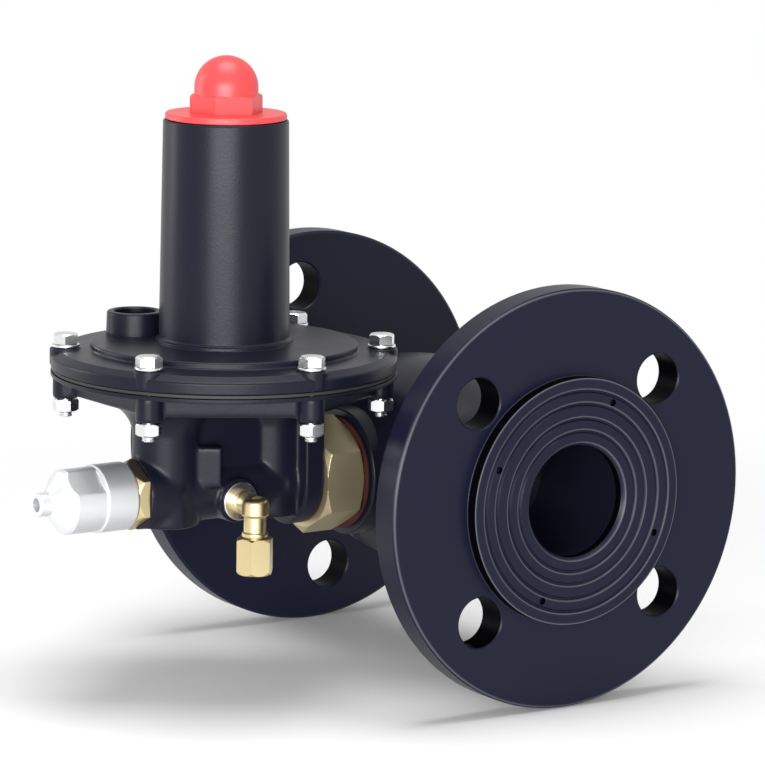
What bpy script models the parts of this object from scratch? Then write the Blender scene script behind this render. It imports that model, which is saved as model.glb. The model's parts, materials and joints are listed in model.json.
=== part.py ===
"""Flanged safety shut-off valve for a gas line.

A cast globe body carries two screwed-on flanges. A spring-loaded disc closes
its seat sideways. The spindle of the disc runs through a brass union into the
trip housing, which hangs under a diaphragm case with a spring tower on top.

Frame: origin at the centre of the inlet flange's raised face, +Y along the
flow to the outlet, +Z up, the trip actuator on the -X side. Metres.
"""
import math

import bmesh
import bpy
from mathutils import Matrix, Vector

# Clearances between pieces that touch or run in each other
SEAT_GAP = 0.0003
RUNNING_GAP = 0.0003
HINGE_GAP = 0.0004

# Flanges
FACE_TO_FACE = 0.186
FLANGE_DIAMETER = 0.150
FLANGE_THICKNESS = 0.012
FLANGE_EDGE_CHAMFER = 0.0010
RAISED_FACE_DIAMETER = 0.088
RAISED_FACE_HEIGHT = 0.0045
BOLT_CIRCLE_DIAMETER = 0.110
BOLT_HOLE_DIAMETER = 0.018
BOLT_HOLE_COUNT = 4
PIPE_BORE_DIAMETER = 0.040
BORE_CHAMFER = 0.0015
HUB_LENGTH = 0.0095
HUB_ROOT_DIAMETER = 0.070
HUB_END_DIAMETER = 0.064
PIPE_THREAD_DIAMETER = 0.0478
INLET_HOLE_TURN = math.radians(46.8)
OUTLET_HOLE_TURN = math.radians(7.5)

# Body casting
COLLAR_FLAT_WIDTH = 0.062
COLLAR_CORNER_DIAMETER = 0.065
COLLAR_LENGTH = 0.013
WAIST_DIAMETER = 0.057
WAIST_LENGTH = 0.005
GLOBE_DIAMETER = 0.077
BODY_WALL = 0.0055
PARTITION_THICKNESS = 0.007
PASSAGE_WEB = 0.006
BOSS_REACH = 0.039
BOSS_DIAMETER = 0.046

# Spindle axis height, seat and disc
SPINDLE_HEIGHT = -0.001
SEAT_BORE_DIAMETER = 0.025
SEAT_THREAD_DIAMETER = 0.0294
SEAT_LIP_DIAMETER = 0.0324
SEAT_LIP_THICKNESS = 0.0025
SEAT_BEAD_HEIGHT = 0.001
SEAT_BEAD_DIAMETER = 0.027
SEAT_BEAD_WIDTH = 0.0007
DISC_DIAMETER = 0.032
DISC_THICKNESS = 0.0053
DISC_RIM = 0.001
SEAL_THICKNESS = 0.0027
SEAL_HOLE_DIAMETER = 0.0126
SEAL_LAND = 0.0006
SEAL_WASHER_DIAMETER = 0.018
SEAL_WASHER_THICKNESS = 0.0015
DISC_NUT_WIDTH = 0.010
DISC_NUT_THICKNESS = 0.0045

# Spindle
SPINDLE_DIAMETER = 0.008
SPINDLE_END_DIAMETER = 0.006
SPRING_FLANGE_DIAMETER = 0.018
SPRING_FLANGE_THICKNESS = 0.0035
LATCH_COLLAR_DIAMETER = 0.015
LATCH_COLLAR_WIDTH = 0.004
LATCH_COLLAR_OFFSET = 0.0045
SPINDLE_STROKE = 0.010
SPINDLE_TAIL = 0.0085
SPINDLE_TAIL_THREAD = 0.007

# Brass union between body and trip housing
UNION_FLATS = 0.037
UNION_WIDTH = 0.0153
UNION_CHAMFER_DIAMETER = 0.0375
UNION_CHAMFER_LENGTH = 0.0018
UNION_BODY_THREAD = 0.0334
UNION_BODY_THREAD_LENGTH = 0.010
UNION_HOUSING_THREAD = 0.0174
UNION_HOUSING_THREAD_LENGTH = 0.008
UNION_GASKET_THICKNESS = 0.001
UNION_GASKET_DIAMETER = 0.041
SPRING_POCKET_DIAMETER = 0.021
SPRING_POCKET_DEPTH = 0.006
BUSH_SEAT_DIAMETER = 0.0126
BUSH_LENGTH = 0.0122
SPINDLE_SEAL_WIDTH = 0.0024
UNION_WEB = 0.0030

# Trip housing under the diaphragm case
HOUSING_LENGTH = 0.069
HOUSING_END_RADIUS = 0.012
HOUSING_BOTTOM = -0.013
CASE_SETBACK = 0.0325
FLARE_START = 0.0150
FLARE_RADIUS = 0.036
FLARE_INSET = 0.0005
HOUSING_WALL = 0.0027
HOUSING_FLOOR = 0.0025
END_BOSS_RADIUS = 0.0125
END_BOSS_PROUD = 0.0007
UNION_RELIEF_RADIUS = 0.0225
UNION_PAD_RADIUS = 0.0168
UNION_PAD_THICKNESS = 0.008
PORT_OFFSET = -0.0015
PORT_HEIGHT = -0.0045
PORT_BOSS_RADIUS = 0.0078
PORT_BOSS_PROUD = 0.001
PORT_BORE_DIAMETER = 0.0086

# Diaphragm case
CASE_DIAMETER = 0.123
CASE_JOINT_HEIGHT = 0.0404
LOWER_LIP_THICKNESS = 0.0015
CASE_WALL_HEIGHT = 0.0088
CASE_BOLT_EDGE = 0.0054
CASE_BOLT_COUNT = 6
CASE_BOLT_TURN = math.radians(-29.3)
CASE_BOLT_DIAMETER = 0.006
CASE_BOLT_HOLE = 0.0066
LOWER_BOSS_RADIUS = 0.0050
LOWER_BOSS_PROUD = 0.0012
UPPER_BOSS_RADIUS = 0.0062
UPPER_BOSS_LENGTH = 0.0066
BOWL_DIAMETER = 0.090
BOWL_DEPTH = 0.0054
STOP_RING_DIAMETER = 0.058
STOP_RING_WIDTH = 0.0025
DIAPHRAGM_THICKNESS = 0.001
DIAPHRAGM_INSET = 0.0005
FOLD_INNER_DIAMETER = 0.068
FOLD_OUTER_DIAMETER = 0.088
FOLD_RISE = 0.0036

# Cover and spring tower
RIM_HEIGHT = 0.004
RIM_BEVEL = 0.0035
SHOULDER_RISE = 0.0060
STEP_CLEARANCE = 0.0032
DISC_SLOPE = 0.0004
DISC_STEP = 0.0025
TOWER_RING_DIAMETER = 0.052
TOWER_RING_THICKNESS = 0.0015
TOWER_FOOT_DIAMETER = 0.0464
TOWER_TOP_DIAMETER = 0.0444
TOWER_LENGTH = 0.0776
TOWER_BORE_DIAMETER = 0.039
COVER_CAVITY_DEPTH = 0.0062
COVER_CAVITY_DIAMETER = 0.088
VENT_TURN = math.radians(120.7)
VENT_DISTANCE = 0.036
VENT_BOSS_RADIUS = 0.0102
VENT_BOSS_LENGTH = 0.0081
VENT_POCKET_RADIUS = 0.0076
VENT_POCKET_DEPTH = 0.0058
VENT_HOLE_RADIUS = 0.002
VENT_INSERT_THICKNESS = 0.0026

# Case fasteners
BOLT_HEAD_FLATS = 0.010
BOLT_HEAD_HEIGHT = 0.0042
WASHER_DIAMETER = 0.0108
WASHER_THICKNESS = 0.0009
NUT_FLATS = 0.010
NUT_HEIGHT = 0.0046
BOLT_TAIL = 0.0018

# Diaphragm stem and plates
PLATE_THICKNESS = 0.0015
LOWER_PLATE_DIAMETER = 0.060
UPPER_PLATE_DIAMETER = 0.064
UPPER_PLATE_RIM = 0.0013
STEM_DIAMETER = 0.006
STEM_FLANGE_DIAMETER = 0.014
STEM_FLANGE_THICKNESS = 0.0015
STEM_COLLAR_DIAMETER = 0.010
STEM_COLLAR_THICKNESS = 0.0015
STEM_TOP_LENGTH = 0.006
STEM_NUT_FLATS = 0.010
STEM_NUT_HEIGHT = 0.004

# Springs, seats and adjusters in the tower
SPRING_SEAT_DIAMETER = 0.035
SPRING_SEAT_HOLE = 0.0135
SPRING_SEAT_THICKNESS = 0.0018
SPRING_HUB_DIAMETER = 0.0244
SPRING_HUB_WALL = 0.0007
SPRING_HUB_HEIGHT = 0.0034
SETTING_SPRING_DIAMETER = 0.0296
SETTING_WIRE = 0.003
SETTING_TURNS = 5
MIN_SPRING_DIAMETER = 0.018
MIN_WIRE = 0.0016
MIN_TURNS = 7
ADJUSTER_DEPTH = 0.026
ADJUSTER_THICKNESS = 0.008
MIN_ADJUSTER_DIAMETER = 0.021
MIN_ADJUSTER_DROP = 0.001
KEY_SLOT_WIDTH = 0.003
KEY_SLOT_DEPTH = 0.002

# Trip lever and latch pawl
LEVER_PIVOT_OFFSET = 0.016
LEVER_HEIGHT = 0.0243
LEVER_THICKNESS = 0.0021
LEVER_WIDTH = 0.012
LEVER_SLOT = 0.0072
LEVER_REACH = 0.0205
STEM_COLLAR_GAP = 0.0011
PAWL_PIVOT_OFFSET = -0.0145
PAWL_PIVOT_HEIGHT = 0.014
PAWL_ENGAGE_ANGLE = math.radians(14.0)
PAWL_NOSE_LENGTH = 0.0032
PAWL_NOSE_LIFT = 0.0010
PAWL_BITE = 0.0029
PAWL_WIDTH = 0.006
PAWL_ARM_HEIGHT = 0.004
PAWL_TAIL = 0.006
PIN_DIAMETER = 0.003
PIN_SEAT = 0.0015
HUB_WALL = 0.0018

# Closing spring
CLOSING_SPRING_DIAMETER = 0.0155
CLOSING_WIRE = 0.0015
CLOSING_TURNS = 6

# Reset bush and aluminium reset cap
RESET_BUSH_FLATS = 0.022
RESET_BUSH_WIDTH = 0.0042
RESET_BUSH_THREAD = 0.0154
RESET_BUSH_THREAD_LENGTH = 0.009
RESET_SPIGOT_DIAMETER = 0.0174
RESET_SPIGOT_LENGTH = 0.007
RESET_CAP_LENGTH = 0.0352
RESET_CAP_DIAMETER = 0.0242
RESET_CAP_COLLAR = 0.0122
RESET_CAP_FLATS = 0.0195
RESET_CAP_BARREL = 0.0115
RESET_FLATS_TURN = math.radians(120)
RESET_CAP_SHOULDER = 0.0022
RESET_CAP_TIP_DIAMETER = 0.0078
RESET_CAP_TIP_LENGTH = 0.0038
RESET_CAP_TIP_BORE = 0.005
RESET_CAP_TIP_BORE_DEPTH = 0.005
RESET_CAP_CHAMBER = 0.012
RESET_CAP_CHAMBER_END = 0.009
RESET_CAP_CHAMFER = 0.0008

# Red sealing cap on the tower
RED_DISC_DIAMETER = 0.043
RED_DISC_THICKNESS = 0.0021
RED_SPIGOT_LENGTH = 0.008
RED_SPIGOT_WALL = 0.0032
RED_HEX_FLATS = 0.0226
RED_HEX_HEIGHT = 0.0064
RED_DOME_CENTRE = 0.0088
RED_DOME_WALL = 0.0028

# Sensing-line elbow and compression nut
ELBOW_WASHER_DIAMETER = 0.0138
ELBOW_WASHER_THICKNESS = 0.0015
ELBOW_STUB_DIAMETER = 0.008
ELBOW_SHOULDER_DIAMETER = 0.012
ELBOW_SHOULDER_WIDTH = 0.0017
ELBOW_BLOCK = 0.0092
ELBOW_REACH = 0.011
ELBOW_BORE = 0.004
ELBOW_NECK_DIAMETER = 0.0078
ELBOW_NECK_LENGTH = 0.0047
ELBOW_COLLAR_DIAMETER = 0.0090
ELBOW_COLLAR_LENGTH = 0.0018
ELBOW_THREAD_DIAMETER = 0.009
ELBOW_THREAD_LENGTH = 0.009
COMPRESSION_NUT_FLATS = 0.0124
COMPRESSION_NUT_LENGTH = 0.013
COMPRESSION_NUT_END = 0.0017
FERRULE_LENGTH = 0.0017
TUBE_DIAMETER = 0.006

# Facets round the turned pieces
FLANGE_SIDES = 32
CASE_SIDES = 32
BODY_SIDES = 24
SMALL_SIDES = 24
HOLE_SIDES = 12
HIDDEN_SIDES = 16

BLACK_PAINT = (0.020, 0.021, 0.026, 1)
BRASS = (0.62, 0.47, 0.20, 1)
ZINC = (0.70, 0.71, 0.72, 1)
STEEL = (0.45, 0.45, 0.46, 1)
ALUMINIUM = (0.80, 0.81, 0.83, 1)
RED_PLASTIC = (0.75, 0.045, 0.045, 1)
RUBBER = (0.03, 0.03, 0.03, 1)
FIBRE = (0.35, 0.20, 0.13, 1)
DARK_PLASTIC = (0.04, 0.04, 0.045, 1)

# Places that follow from the sizes above
MID_Y = FACE_TO_FACE / 2
BODY_FACE_X = -BOSS_REACH
UNION_RIGHT = BODY_FACE_X - 2 * SEAT_GAP - UNION_GASKET_THICKNESS
UNION_LEFT = UNION_RIGHT - UNION_WIDTH
HOUSING_RIGHT = UNION_LEFT - SEAT_GAP
HOUSING_LEFT = HOUSING_RIGHT - HOUSING_LENGTH
CASE_X = HOUSING_RIGHT - CASE_SETBACK
RESET_BUSH_RIGHT = HOUSING_LEFT - SEAT_GAP
RESET_BUSH_LEFT = RESET_BUSH_RIGHT - RESET_BUSH_WIDTH
RESET_CAP_RIGHT = RESET_BUSH_LEFT - SEAT_GAP
RESET_CAP_LEFT = RESET_CAP_RIGHT - RESET_CAP_LENGTH
SEAT_FACE_X = -PARTITION_THICKNESS / 2 - SEAT_GAP
SEAT_BEAD_X = SEAT_FACE_X - SEAT_LIP_THICKNESS - SEAT_BEAD_HEIGHT
SEAL_FRONT_X = SEAT_BEAD_X - SEAT_GAP
DISC_FLOOR_X = SEAL_FRONT_X - SEAL_THICKNESS - SEAT_GAP
DISC_BACK_X = SEAL_FRONT_X - SEAL_LAND - DISC_THICKNESS
SPRING_FLANGE_X = DISC_BACK_X - SEAT_GAP
LATCH_COLLAR_X = CASE_X + LATCH_COLLAR_OFFSET
CASE_BOLT_RADIUS = CASE_DIAMETER / 2 - CASE_BOLT_EDGE
DISC_STEP_DIAMETER = 2 * (CASE_BOLT_RADIUS - STEP_CLEARANCE) - WASHER_DIAMETER
SHOULDER_DIAMETER = CASE_DIAMETER - 2 * RIM_BEVEL
DIAPHRAGM_DIAMETER = CASE_DIAMETER - 2 * DIAPHRAGM_INSET
DIAPHRAGM_BOTTOM = CASE_JOINT_HEIGHT + SEAT_GAP
DIAPHRAGM_TOP = DIAPHRAGM_BOTTOM + DIAPHRAGM_THICKNESS
COVER_BOTTOM = DIAPHRAGM_TOP + SEAT_GAP
CASE_WALL_BOTTOM = CASE_JOINT_HEIGHT - CASE_WALL_HEIGHT
LOWER_BOSS_BOTTOM = CASE_WALL_BOTTOM - LOWER_BOSS_PROUD
BOWL_FLOOR = CASE_JOINT_HEIGHT - BOWL_DEPTH
UPPER_BOSS_TOP = COVER_BOTTOM + UPPER_BOSS_LENGTH
COVER_ROOF = COVER_BOTTOM + COVER_CAVITY_DEPTH
SHOULDER_HEIGHT = COVER_BOTTOM + SHOULDER_RISE
DISC_STEP_FOOT = SHOULDER_HEIGHT + DISC_SLOPE
DISC_STEP_HEIGHT = DISC_STEP_FOOT + DISC_STEP
TOWER_RING_HEIGHT = DISC_STEP_HEIGHT + TOWER_RING_THICKNESS
TOWER_TOP = TOWER_RING_HEIGHT + TOWER_LENGTH
VENT_BOSS_TOP = DISC_STEP_HEIGHT + VENT_BOSS_LENGTH
VENT_POCKET_FLOOR = VENT_BOSS_TOP - VENT_POCKET_DEPTH
ADJUSTER_HEIGHT = TOWER_TOP - ADJUSTER_DEPTH
LOWER_PLATE_TOP = DIAPHRAGM_BOTTOM - SEAT_GAP
LOWER_PLATE_BOTTOM = LOWER_PLATE_TOP - PLATE_THICKNESS
UPPER_PLATE_BOTTOM = DIAPHRAGM_TOP + SEAT_GAP
UPPER_PLATE_TOP = UPPER_PLATE_BOTTOM + PLATE_THICKNESS
SPRING_SEAT_BOTTOM = UPPER_PLATE_TOP + SEAT_GAP
SPRING_FOOT = SPRING_SEAT_BOTTOM + SPRING_SEAT_THICKNESS + SEAT_GAP
PAWL_PIVOT_X = CASE_X + PAWL_PIVOT_OFFSET
LEVER_PIVOT_X = CASE_X + LEVER_PIVOT_OFFSET
PORT_X = CASE_X + PORT_OFFSET
PORT_FACE_Y = MID_Y - HOUSING_END_RADIUS - PORT_BOSS_PROUD
ELBOW_SHOULDER_Y = PORT_FACE_Y - 2 * SEAT_GAP - ELBOW_WASHER_THICKNESS
ELBOW_Y = PORT_FACE_Y - ELBOW_REACH

AXES = {
    "+X": ((0, 1, 0), (0, 0, 1), (1, 0, 0)),
    "-X": ((0, 1, 0), (0, 0, -1), (-1, 0, 0)),
    "+Y": ((0, 0, 1), (1, 0, 0), (0, 1, 0)),
    "-Y": ((1, 0, 0), (0, 0, 1), (0, -1, 0)),
    "+Z": ((1, 0, 0), (0, 1, 0), (0, 0, 1)),
    "-Z": ((0, 1, 0), (1, 0, 0), (0, 0, -1)),
}


def frame_on(axis, origin, turn=0.0):
    """Placement whose local Z runs along the named axis, turned about it."""
    columns = Matrix(AXES[axis]).transposed().to_4x4()
    return Matrix.Translation(Vector(origin)) @ columns @ Matrix.Rotation(turn, 4, "Z")


def material(name, colour, roughness, metallic):
    """Plain surface with the colour and gloss of the finish."""
    finish = bpy.data.materials.get(name)
    if finish is None:
        finish = bpy.data.materials.new(name)
        finish.use_nodes = True
        shader = finish.node_tree.nodes["Principled BSDF"]
        shader.inputs["Base Color"].default_value = colour
        shader.inputs["Roughness"].default_value = roughness
        shader.inputs["Metallic"].default_value = metallic
    return finish


def add_object(name, shape, place, finish=None):
    """Object from a bmesh, closed and facing outwards, at its placement."""
    bmesh.ops.recalc_face_normals(shape, faces=shape.faces)
    mesh = bpy.data.meshes.new(name)
    shape.to_mesh(mesh)
    shape.free()
    if finish is not None:
        mesh.materials.append(finish)
    piece = bpy.data.objects.new(name, mesh)
    bpy.context.scene.collection.objects.link(piece)
    piece.matrix_world = place
    return piece


def section_radius(point, angle):
    """Radius of a profile point at an angle: round, or flat-sided with cut corners."""
    if len(point) == 2:
        return point[0]
    flat, _, corner, flats = point
    step = 2 * math.pi / flats
    offset = (angle + step / 2) % step - step / 2
    return min(flat / math.cos(offset), corner)


def turned_shape(profile, sides):
    """Solid of revolution. Profile points are (radius, height), or
    (half flat width, height, corner radius, flats) for a flat-sided section.
    A profile with both ends on the axis is capped there, any other is a ring."""
    shape = bmesh.new()
    capped = profile[0][0] == 0 and profile[-1][0] == 0
    rows = []
    for point in profile:
        if point[0] == 0:
            rows.append([shape.verts.new((0, 0, point[1]))])
            continue
        row = []
        for step in range(sides):
            angle = 2 * math.pi * step / sides
            radius = section_radius(point, angle)
            row.append(shape.verts.new((radius * math.cos(angle), radius * math.sin(angle), point[1])))
        rows.append(row)
    pairs = list(zip(rows, rows[1:]))
    if not capped:
        pairs.append((rows[-1], rows[0]))
    for low, high in pairs:
        for step in range(sides):
            after = (step + 1) % sides
            if len(low) == 1:
                shape.faces.new((low[0], high[after], high[step]))
            elif len(high) == 1:
                shape.faces.new((low[step], low[after], high[0]))
            else:
                shape.faces.new((low[step], low[after], high[after], high[step]))
    return shape


def turned(name, profile, place, finish=None, sides=SMALL_SIDES):
    return add_object(name, turned_shape(profile, sides), place, finish)


def rod(radius, low, high):
    """Profile of a plain round bar between two heights."""
    return [(0, low), (radius, low), (radius, high), (0, high)]


def ring(inner, outer, low, high):
    """Profile of a plain ring between two heights."""
    return [(inner, low), (outer, low), (outer, high), (inner, high)]


def hexagon(flat_width, height, corner=None):
    """Profile point of a hexagonal section, its corners cut at a radius."""
    limit = corner if corner is not None else flat_width
    return (flat_width / 2, height, limit, 6)


def extruded(name, outline, low, high, place, finish=None):
    """Prism with the outline as its section, from low to high along local Z."""
    shape = bmesh.new()
    bottom = [shape.verts.new((x, y, low)) for x, y in outline]
    top = [shape.verts.new((x, y, high)) for x, y in outline]
    shape.faces.new(bottom)
    shape.faces.new(top)
    for index in range(len(outline)):
        after = (index + 1) % len(outline)
        shape.faces.new((bottom[index], bottom[after], top[after], top[index]))
    return add_object(name, shape, place, finish)


def block(low, high):
    """Box between two corners, for joining or cutting."""
    outline = [(low[0], low[1]), (high[0], low[1]), (high[0], high[1]), (low[0], high[1])]
    return extruded("tool", outline, low[2], high[2], Matrix.Identity(4))


def bar(axis, origin, radius, length, sides=HOLE_SIDES):
    """Round tool that starts at the origin and runs along the axis."""
    return turned("tool", rod(radius, 0, length), frame_on(axis, origin), None, sides)


def combine(piece, tool, operation):
    """Joins the tool to the piece, cuts it away or keeps what they share. The
    manifold solver keeps every result closed."""
    modifier = piece.modifiers.new(operation.title(), "BOOLEAN")
    modifier.operation = operation
    modifier.solver = "MANIFOLD"
    modifier.object = tool
    bpy.context.view_layer.update()
    graph = bpy.context.evaluated_depsgraph_get()
    mesh = bpy.data.meshes.new_from_object(piece.evaluated_get(graph))
    piece.modifiers.clear()
    piece.data = mesh
    bpy.data.objects.remove(tool)


def join(piece, tool):
    combine(piece, tool, "UNION")


def cut(piece, tool):
    combine(piece, tool, "DIFFERENCE")


def coil_spring(name, diameter, wire, low, high, turns, place, finish, per_turn=10, round_sides=5):
    """Helical wire between two heights, its end turns lying flat."""
    shape = bmesh.new()
    radius = diameter / 2
    count = turns * per_turn
    bottom = low + wire / 2
    span = high - low - wire
    rows = []
    for index in range(count + 1):
        share = index / count
        angle = 2 * math.pi * turns * share
        flat = 1 / turns
        rise = min(max((share - flat / 2) / (1 - flat), 0), 1)
        centre = Vector((radius * math.cos(angle), radius * math.sin(angle), bottom + span * rise))
        outward = Vector((math.cos(angle), math.sin(angle), 0))
        row = []
        for side in range(round_sides):
            around = 2 * math.pi * side / round_sides
            shift = outward * math.cos(around) + Vector((0, 0, 1)) * math.sin(around)
            row.append(shape.verts.new(centre + shift * (wire / 2)))
        rows.append(row)
    for low_row, high_row in zip(rows, rows[1:]):
        for side in range(round_sides):
            after = (side + 1) % round_sides
            shape.faces.new((low_row[side], low_row[after], high_row[after], high_row[side]))
    shape.faces.new(rows[0])
    shape.faces.new(rows[-1])
    return add_object(name, shape, place, finish)


def circle_places(radius, count, turn):
    """Points spaced evenly round a circle, starting at the turn angle."""
    angles = [turn + 2 * math.pi * index / count for index in range(count)]
    return [(radius * math.cos(angle), radius * math.sin(angle)) for angle in angles]


def case_frame():
    """Placement on the diaphragm case's vertical axis."""
    return frame_on("+Z", (CASE_X, MID_Y, 0))


def spindle_frame(turn=0.0):
    """Placement on the spindle's axis, local Z along +X."""
    return frame_on("+X", (0, MID_Y, SPINDLE_HEIGHT), turn)


def flange_length():
    return RAISED_FACE_HEIGHT + FLANGE_THICKNESS + HUB_LENGTH


def build_flange(name, axis, face_y, turn, finish):
    """Screwed plate flange: raised face, four bolt holes, a short hub behind,
    and a thread bore that ends at a lip round the pipe bore."""
    plate_front = RAISED_FACE_HEIGHT
    plate_back = plate_front + FLANGE_THICKNESS
    chamfer = FLANGE_EDGE_CHAMFER
    outer = FLANGE_DIAMETER / 2
    bore = PIPE_BORE_DIAMETER / 2
    thread = PIPE_THREAD_DIAMETER / 2 + RUNNING_GAP
    profile = [(bore, BORE_CHAMFER), (bore + BORE_CHAMFER, 0)]
    profile += [
        (RAISED_FACE_DIAMETER / 2, 0),
        (RAISED_FACE_DIAMETER / 2, plate_front),
        (outer - chamfer, plate_front),
        (outer, plate_front + chamfer),
        (outer, plate_back - chamfer),
        (outer - chamfer, plate_back),
        (HUB_ROOT_DIAMETER / 2, plate_back),
        (HUB_END_DIAMETER / 2, flange_length()),
        (thread, flange_length()),
        (thread, plate_front),
        (bore, plate_front),
    ]
    flange = turned(name, profile, frame_on(axis, (0, face_y, 0)), finish, FLANGE_SIDES)
    for x, z in circle_places(BOLT_CIRCLE_DIAMETER / 2, BOLT_HOLE_COUNT, turn):
        start = face_y - math.copysign(flange_length(), 1 if axis == "+Y" else -1)
        cut(flange, bar(axis, (x, start, z), BOLT_HOLE_DIAMETER / 2, 3 * flange_length()))
    return flange


def globe_profile(inset, start, end, steps=6):
    """Bulge of the body between two places along the pipe, inset by a wall."""
    waist = WAIST_DIAMETER / 2 - inset
    swell = (GLOBE_DIAMETER - WAIST_DIAMETER) / 2
    points = []
    for step in range(steps + 1):
        share = step / steps
        points.append((waist + swell * math.sin(math.pi * share), start + (end - start) * share))
    return points


def build_body(finish):
    """Globe casting: threaded necks, octagonal collars, a bulged middle with the
    S-shaped passage past a seat partition, and a threaded boss for the union."""
    neck_start = RAISED_FACE_HEIGHT + SEAT_GAP
    shoulder = flange_length() + SEAT_GAP
    collar_end = shoulder + COLLAR_LENGTH
    globe_start = collar_end + WAIST_LENGTH
    far = FACE_TO_FACE
    neck = PIPE_THREAD_DIAMETER / 2
    collar = (COLLAR_FLAT_WIDTH / 2, COLLAR_CORNER_DIAMETER / 2)
    waist = WAIST_DIAMETER / 2
    half = [
        (0, neck_start),
        (neck, neck_start),
        (neck, shoulder),
        (collar[0], shoulder, collar[1], 8),
        (collar[0], collar_end, collar[1], 8),
        (waist, collar_end),
    ]
    mirrored = [(point[0], far - point[1]) + tuple(point[2:]) for point in reversed(half)]
    profile = half + globe_profile(0, globe_start, far - globe_start) + mirrored
    body = turned("valve_body", profile, frame_on("+Y", (0, 0, 0)), finish, BODY_SIDES)
    join(body, bar("+X", (BODY_FACE_X, MID_Y, SPINDLE_HEIGHT), BOSS_DIAMETER / 2, BOSS_REACH, BODY_SIDES))
    bore = PIPE_BORE_DIAMETER / 2
    half_wall = PARTITION_THICKNESS / 2
    passage_end = globe_start + BODY_WALL
    chamber_far = far - passage_end - PASSAGE_WEB
    reach = GLOBE_DIAMETER
    cavity = [(0, collar_end)]
    cavity += globe_profile(BODY_WALL, globe_start, far - globe_start)
    cavity += [(0, far - collar_end)]
    sides = (
        ("+Y", 0, (-reach, 0, -reach), (-half_wall, chamber_far, reach)),
        ("-Y", far, (half_wall, far - chamber_far, -reach), (reach, far, reach)),
    )
    for axis, start, low, high in sides:
        cut(body, bar(axis, (0, start, 0), bore, passage_end, BODY_SIDES))
        chamber = turned("chamber", cavity, frame_on("+Y", (0, 0, 0)), None, BODY_SIDES)
        combine(chamber, block(low, high), "INTERSECT")
        cut(body, chamber)
    seat_hole = SEAT_THREAD_DIAMETER / 2 + SEAT_GAP
    seat_start = (-reach / 2, MID_Y, SPINDLE_HEIGHT)
    cut(body, bar("+X", seat_start, seat_hole, reach / 2 + PARTITION_THICKNESS, SMALL_SIDES))
    union_hole = UNION_BODY_THREAD / 2 + SEAT_GAP
    depth = BOSS_REACH - SEAT_LIP_THICKNESS - PARTITION_THICKNESS
    socket_start = (BODY_FACE_X - SEAT_GAP, MID_Y, SPINDLE_HEIGHT)
    cut(body, bar("+X", socket_start, union_hole, depth, BODY_SIDES))
    return body


def build_seat_and_disc(brass, steel, rubber):
    """Seat ring screwed into the partition, and the disc with its seal that
    the spindle presses onto the ring's bead."""
    half_wall = PARTITION_THICKNESS / 2
    bore = SEAT_BORE_DIAMETER / 2
    bead = SEAT_BEAD_DIAMETER / 2
    lip_face = SEAT_FACE_X - SEAT_LIP_THICKNESS
    turned("seat_ring", [
        (bore, half_wall),
        (SEAT_THREAD_DIAMETER / 2, half_wall),
        (SEAT_THREAD_DIAMETER / 2, SEAT_FACE_X),
        (SEAT_LIP_DIAMETER / 2, SEAT_FACE_X),
        (SEAT_LIP_DIAMETER / 2, lip_face),
        (bead + SEAT_BEAD_WIDTH, lip_face),
        (bead + SEAT_BEAD_WIDTH / 2, SEAT_BEAD_X),
        (bead, SEAT_BEAD_X),
        (bore, lip_face),
    ], spindle_frame(), brass, 20)
    hole = SPINDLE_END_DIAMETER / 2 + RUNNING_GAP
    disc = DISC_DIAMETER / 2
    front = DISC_BACK_X + DISC_THICKNESS
    turned("valve_disc", [
        (hole, DISC_BACK_X),
        (disc, DISC_BACK_X),
        (disc, front),
        (disc - DISC_RIM, front),
        (disc - DISC_RIM, DISC_FLOOR_X),
        (hole, DISC_FLOOR_X),
    ], spindle_frame(), steel, 20)
    seal_outer = disc - DISC_RIM - SEAT_GAP
    seal_back = DISC_FLOOR_X + SEAT_GAP
    turned("disc_seal", ring(SEAL_HOLE_DIAMETER / 2, seal_outer, seal_back, SEAL_FRONT_X),
           spindle_frame(), rubber, 20)
    washer_back = SEAL_FRONT_X + SEAT_GAP
    washer_front = washer_back + SEAL_WASHER_THICKNESS
    hub = SEAL_HOLE_DIAMETER / 2 - SEAT_GAP
    turned("seal_washer", [
        (hole, DISC_FLOOR_X + SEAT_GAP),
        (hub, DISC_FLOOR_X + SEAT_GAP),
        (hub, washer_back),
        (SEAL_WASHER_DIAMETER / 2, washer_back),
        (SEAL_WASHER_DIAMETER / 2, washer_front),
        (hole, washer_front),
    ], spindle_frame(), steel, HIDDEN_SIDES)
    nut_back = washer_front + SEAT_GAP
    nut_front = nut_back + DISC_NUT_THICKNESS
    turned("disc_nut", [
        (hole, nut_back),
        hexagon(DISC_NUT_WIDTH, nut_back),
        hexagon(DISC_NUT_WIDTH, nut_front),
        (hole, nut_front),
    ], spindle_frame(), steel, 12)
    return nut_front


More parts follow.
